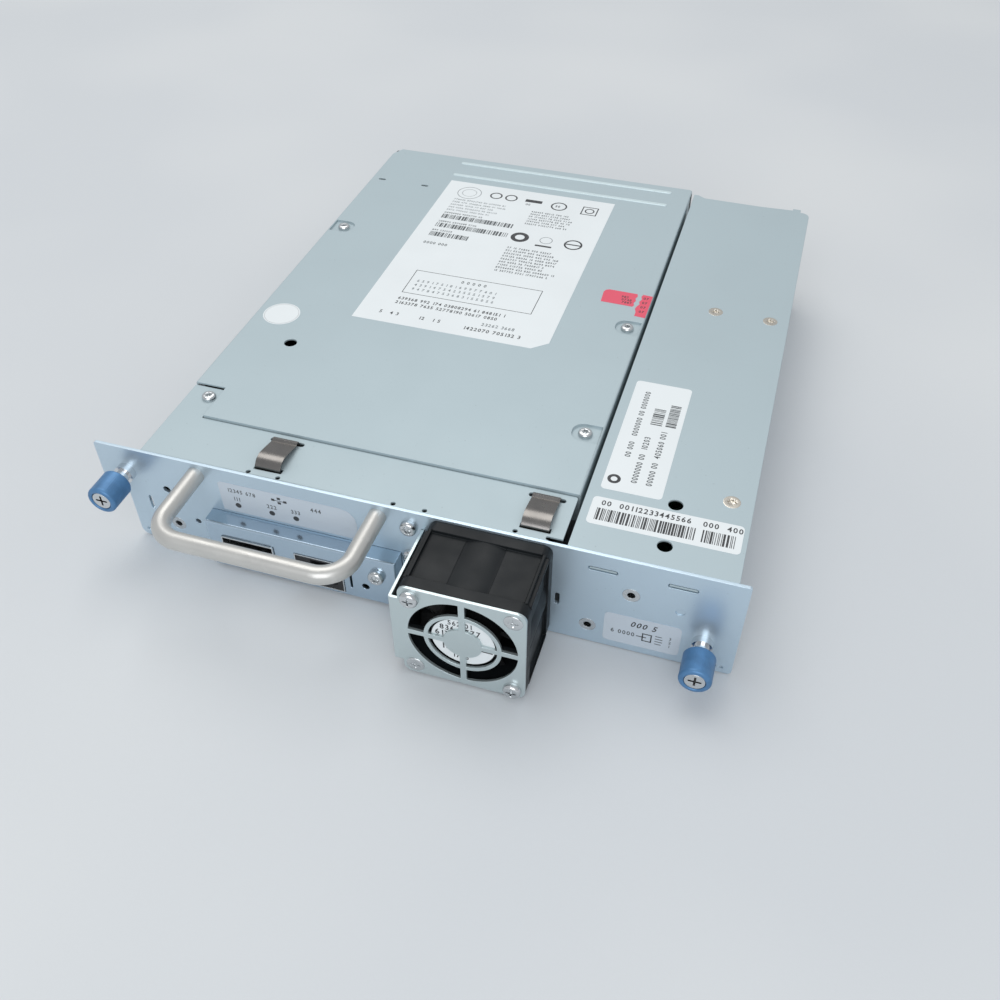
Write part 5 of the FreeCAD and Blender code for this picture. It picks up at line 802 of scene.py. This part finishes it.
def captive(side):
    """The screw inside a knob: a wide face with a cross recess painted near-black as shade, a thin neck and a
    ringed, pointed end.
    """
    low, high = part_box(f"{side}_captive_screw")
    middle = Vector(((low.x + high.x) / 2, low.y, (low.z + high.z) / 2))
    shape = Shape(middle, X, -Z, -Y)
    total = (high.y - low.y) / MM
    count = 96
    thread, steps = 4.4, 12
    tip = -total
    rings = [circle(1.2, tip, count)]
    for step in range(steps + 1):
        along = tip + 0.35 + (thread - 0.35) * step / steps
        rings.append(circle(1.98 if step % 2 else 1.68, along, count))
    rings += [circle(1.5, tip + thread + 0.1, count), circle(1.5, -0.9, count), circle(3.35, -0.9, count),
              circle(3.35, -0.15, count), circle(3.2, 0.0, count), circle(2.45, 0.0, count)]
    rings += [circle(2.1, -0.03, count, cross), circle(1.95, -0.2, count, cross), circle(1.7, -0.75, count, cross),
              circle(0.2, -0.85, count)]
    shape.loft(rings)
    # The cross recess's walls and floor take the near-black finish: painted shade in the hollow.
    recess = (len(rings) - 4) * count
    shape.finish[recess:-2] = [1] * (len(shape.finish) - 2 - recess)
    shape.finish[-1] = 1
    shape.make(f"{side}_threaded_screw", [FINISHES["screw_steel"], FINISHES["recess_dark"]], f"{side}_thumbscrew",
               "screw_steel", [f"{side}_captive_screw"])


def knob_spring(side):
    """The spring round a captive screw, which on the real knob closes up by the screw's travel when the knob is
    pushed in; here a smooth-shaded copy of the CAD node that rides on its body.
    """
    node = f"{side}_knob_spring"
    mesh = frame["nodes"][node].data.copy()
    smooth(mesh)
    piece = linked(f"{side}_coil_spring", mesh)
    stand_in(piece, node)
    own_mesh(piece)


def paint_bead_highlight(cover):
    """The two beads near the drive cover's far edge take a paler, glossier finish than the sheet round them; the
    paler colour is a painted highlight where the raised strips catch the light.
    """
    cover.data.materials.append(FINISHES["bead_steel"])
    for face in cover.data.polygons:
        if face.center.z > drive_cover_top() + 0.05 * MM:
            face.material_index = 1


# ---------------------------------------------------------------- Build the looks

# How wide each bent or moulded piece's corners are, in millimetres.
EDGES = {"front_panel": 0.10, "drive_cover": 0.16, "rear_cover": 0.14, "side_box_cover": 0.16,
         "connector_bracket": 0.16, "fan_bracket": 0.12, "sled_tray": 0.16, "sas_shell": 0.08,
         "ethernet_shield": 0.08, "emi_clip_left": 0.04, "emi_clip_right": 0.04, "fan_housing": 0.22,
         "loader_bezel": 0.25, "cartridge_door": 0.2, "docking_connector": 0.2, "clinch_nuts": 0.1}
SPECIAL = {"fan_bracket": FINISHES["guard_steel"], "connector_bracket": FINISHES["bracket_zinc"]}
looks = {node: softened(node, width, SPECIAL.get(node)) for node, width in EDGES.items()}
paint_bead_highlight(looks["drive_cover"])
cover_screws()
flat_screws()
front_screws("bracket_screws", "bracket_screw_set", 2.0, 2.9, 2.0, 1.5, 5.0, star, 1.35)
front_screws("fan_pan_screws", "fan_pan_screw_set", 2.0, 3.0, 2.0, 1.5, 5.4, cross, 1.7)
front_screws("fan_flat_screws", "fan_flat_screw_set", 0.5, 3.0, 0.42, 1.5, 5.4, cross, 1.6, 0.9)
for side in ("left", "right"):
    knob(side)
    captive(side)
    knob_spring(side)
rating_label()
side_label()
serial_label()
round_sticker()
seals()
status_label()
type_label()
fan_label()
for name in ("handle", "left_ferrule", "right_ferrule", "fan_rotor", "handle_screws", "takeup_reel"):
    smooth(frame["nodes"][name].data)


# ---------------------------------------------------------------- Studio


def studio():
    """A pale floor, an even room and two big lamps."""
    floor_finish = Finish("backdrop_cloth", (0.60, 0.625, 0.645), 0.0, 0.9)
    floor_finish.tint(floor_finish.noise(4, 2), (0.65, 0.67, 0.68), 0.4, 0.7)
    floor_finish.bump(floor_finish.noise(1400, 2), 0.00008, 0.3)
    bpy.ops.mesh.primitive_plane_add(size=8, location=(0, 1.2, -0.0004))
    floor = bpy.context.object
    floor.name = "floor"
    floor.data.materials.append(floor_finish.material)
    world = bpy.data.worlds.new("soft_room")
    bpy.context.scene.world = world
    world.use_nodes = True
    back = world.node_tree.nodes["Background"]
    back.inputs["Color"].default_value = (0.93, 0.96, 1.0, 1)
    back.inputs["Strength"].default_value = 0.57
    lamps = (("key", (-0.4, 0.55, 1.55), (0, 0, 0), 1.3, 12, 0.3, (1.0, 0.985, 0.96)),
             ("fill", (0.25, -1.35, 0.9), (0, 0, 0), 1.2, 11.5, 1.0, (0.95, 0.97, 1.0)))
    for name, place, target, size, power, glint, colour in lamps:
        light = bpy.data.lights.new(name, "AREA")
        light.size = size
        light.energy = power
        light.specular_factor = glint
        light.color = colour
        item = linked(name, light)
        item.location = place
        item.rotation_euler = (Vector(target) - Vector(place)).to_track_quat("-Z", "Y").to_euler()


def camera():
    """The camera that was solved from the photo."""
    data = bpy.data.cameras.new("camera")
    data.sensor_width = 36
    data.lens = 36.46
    data.clip_start = 0.01
    item = linked("camera", data)
    item.location = (0.09784, -0.3086, 0.26494)
    forward = Vector((-0.2138, 0.6860, -0.6955))
    item.rotation_euler = forward.to_track_quat("-Z", "Y").to_euler()
    bpy.context.scene.camera = item


studio()
camera()
bpy.context.scene.view_settings.view_transform = "Standard"
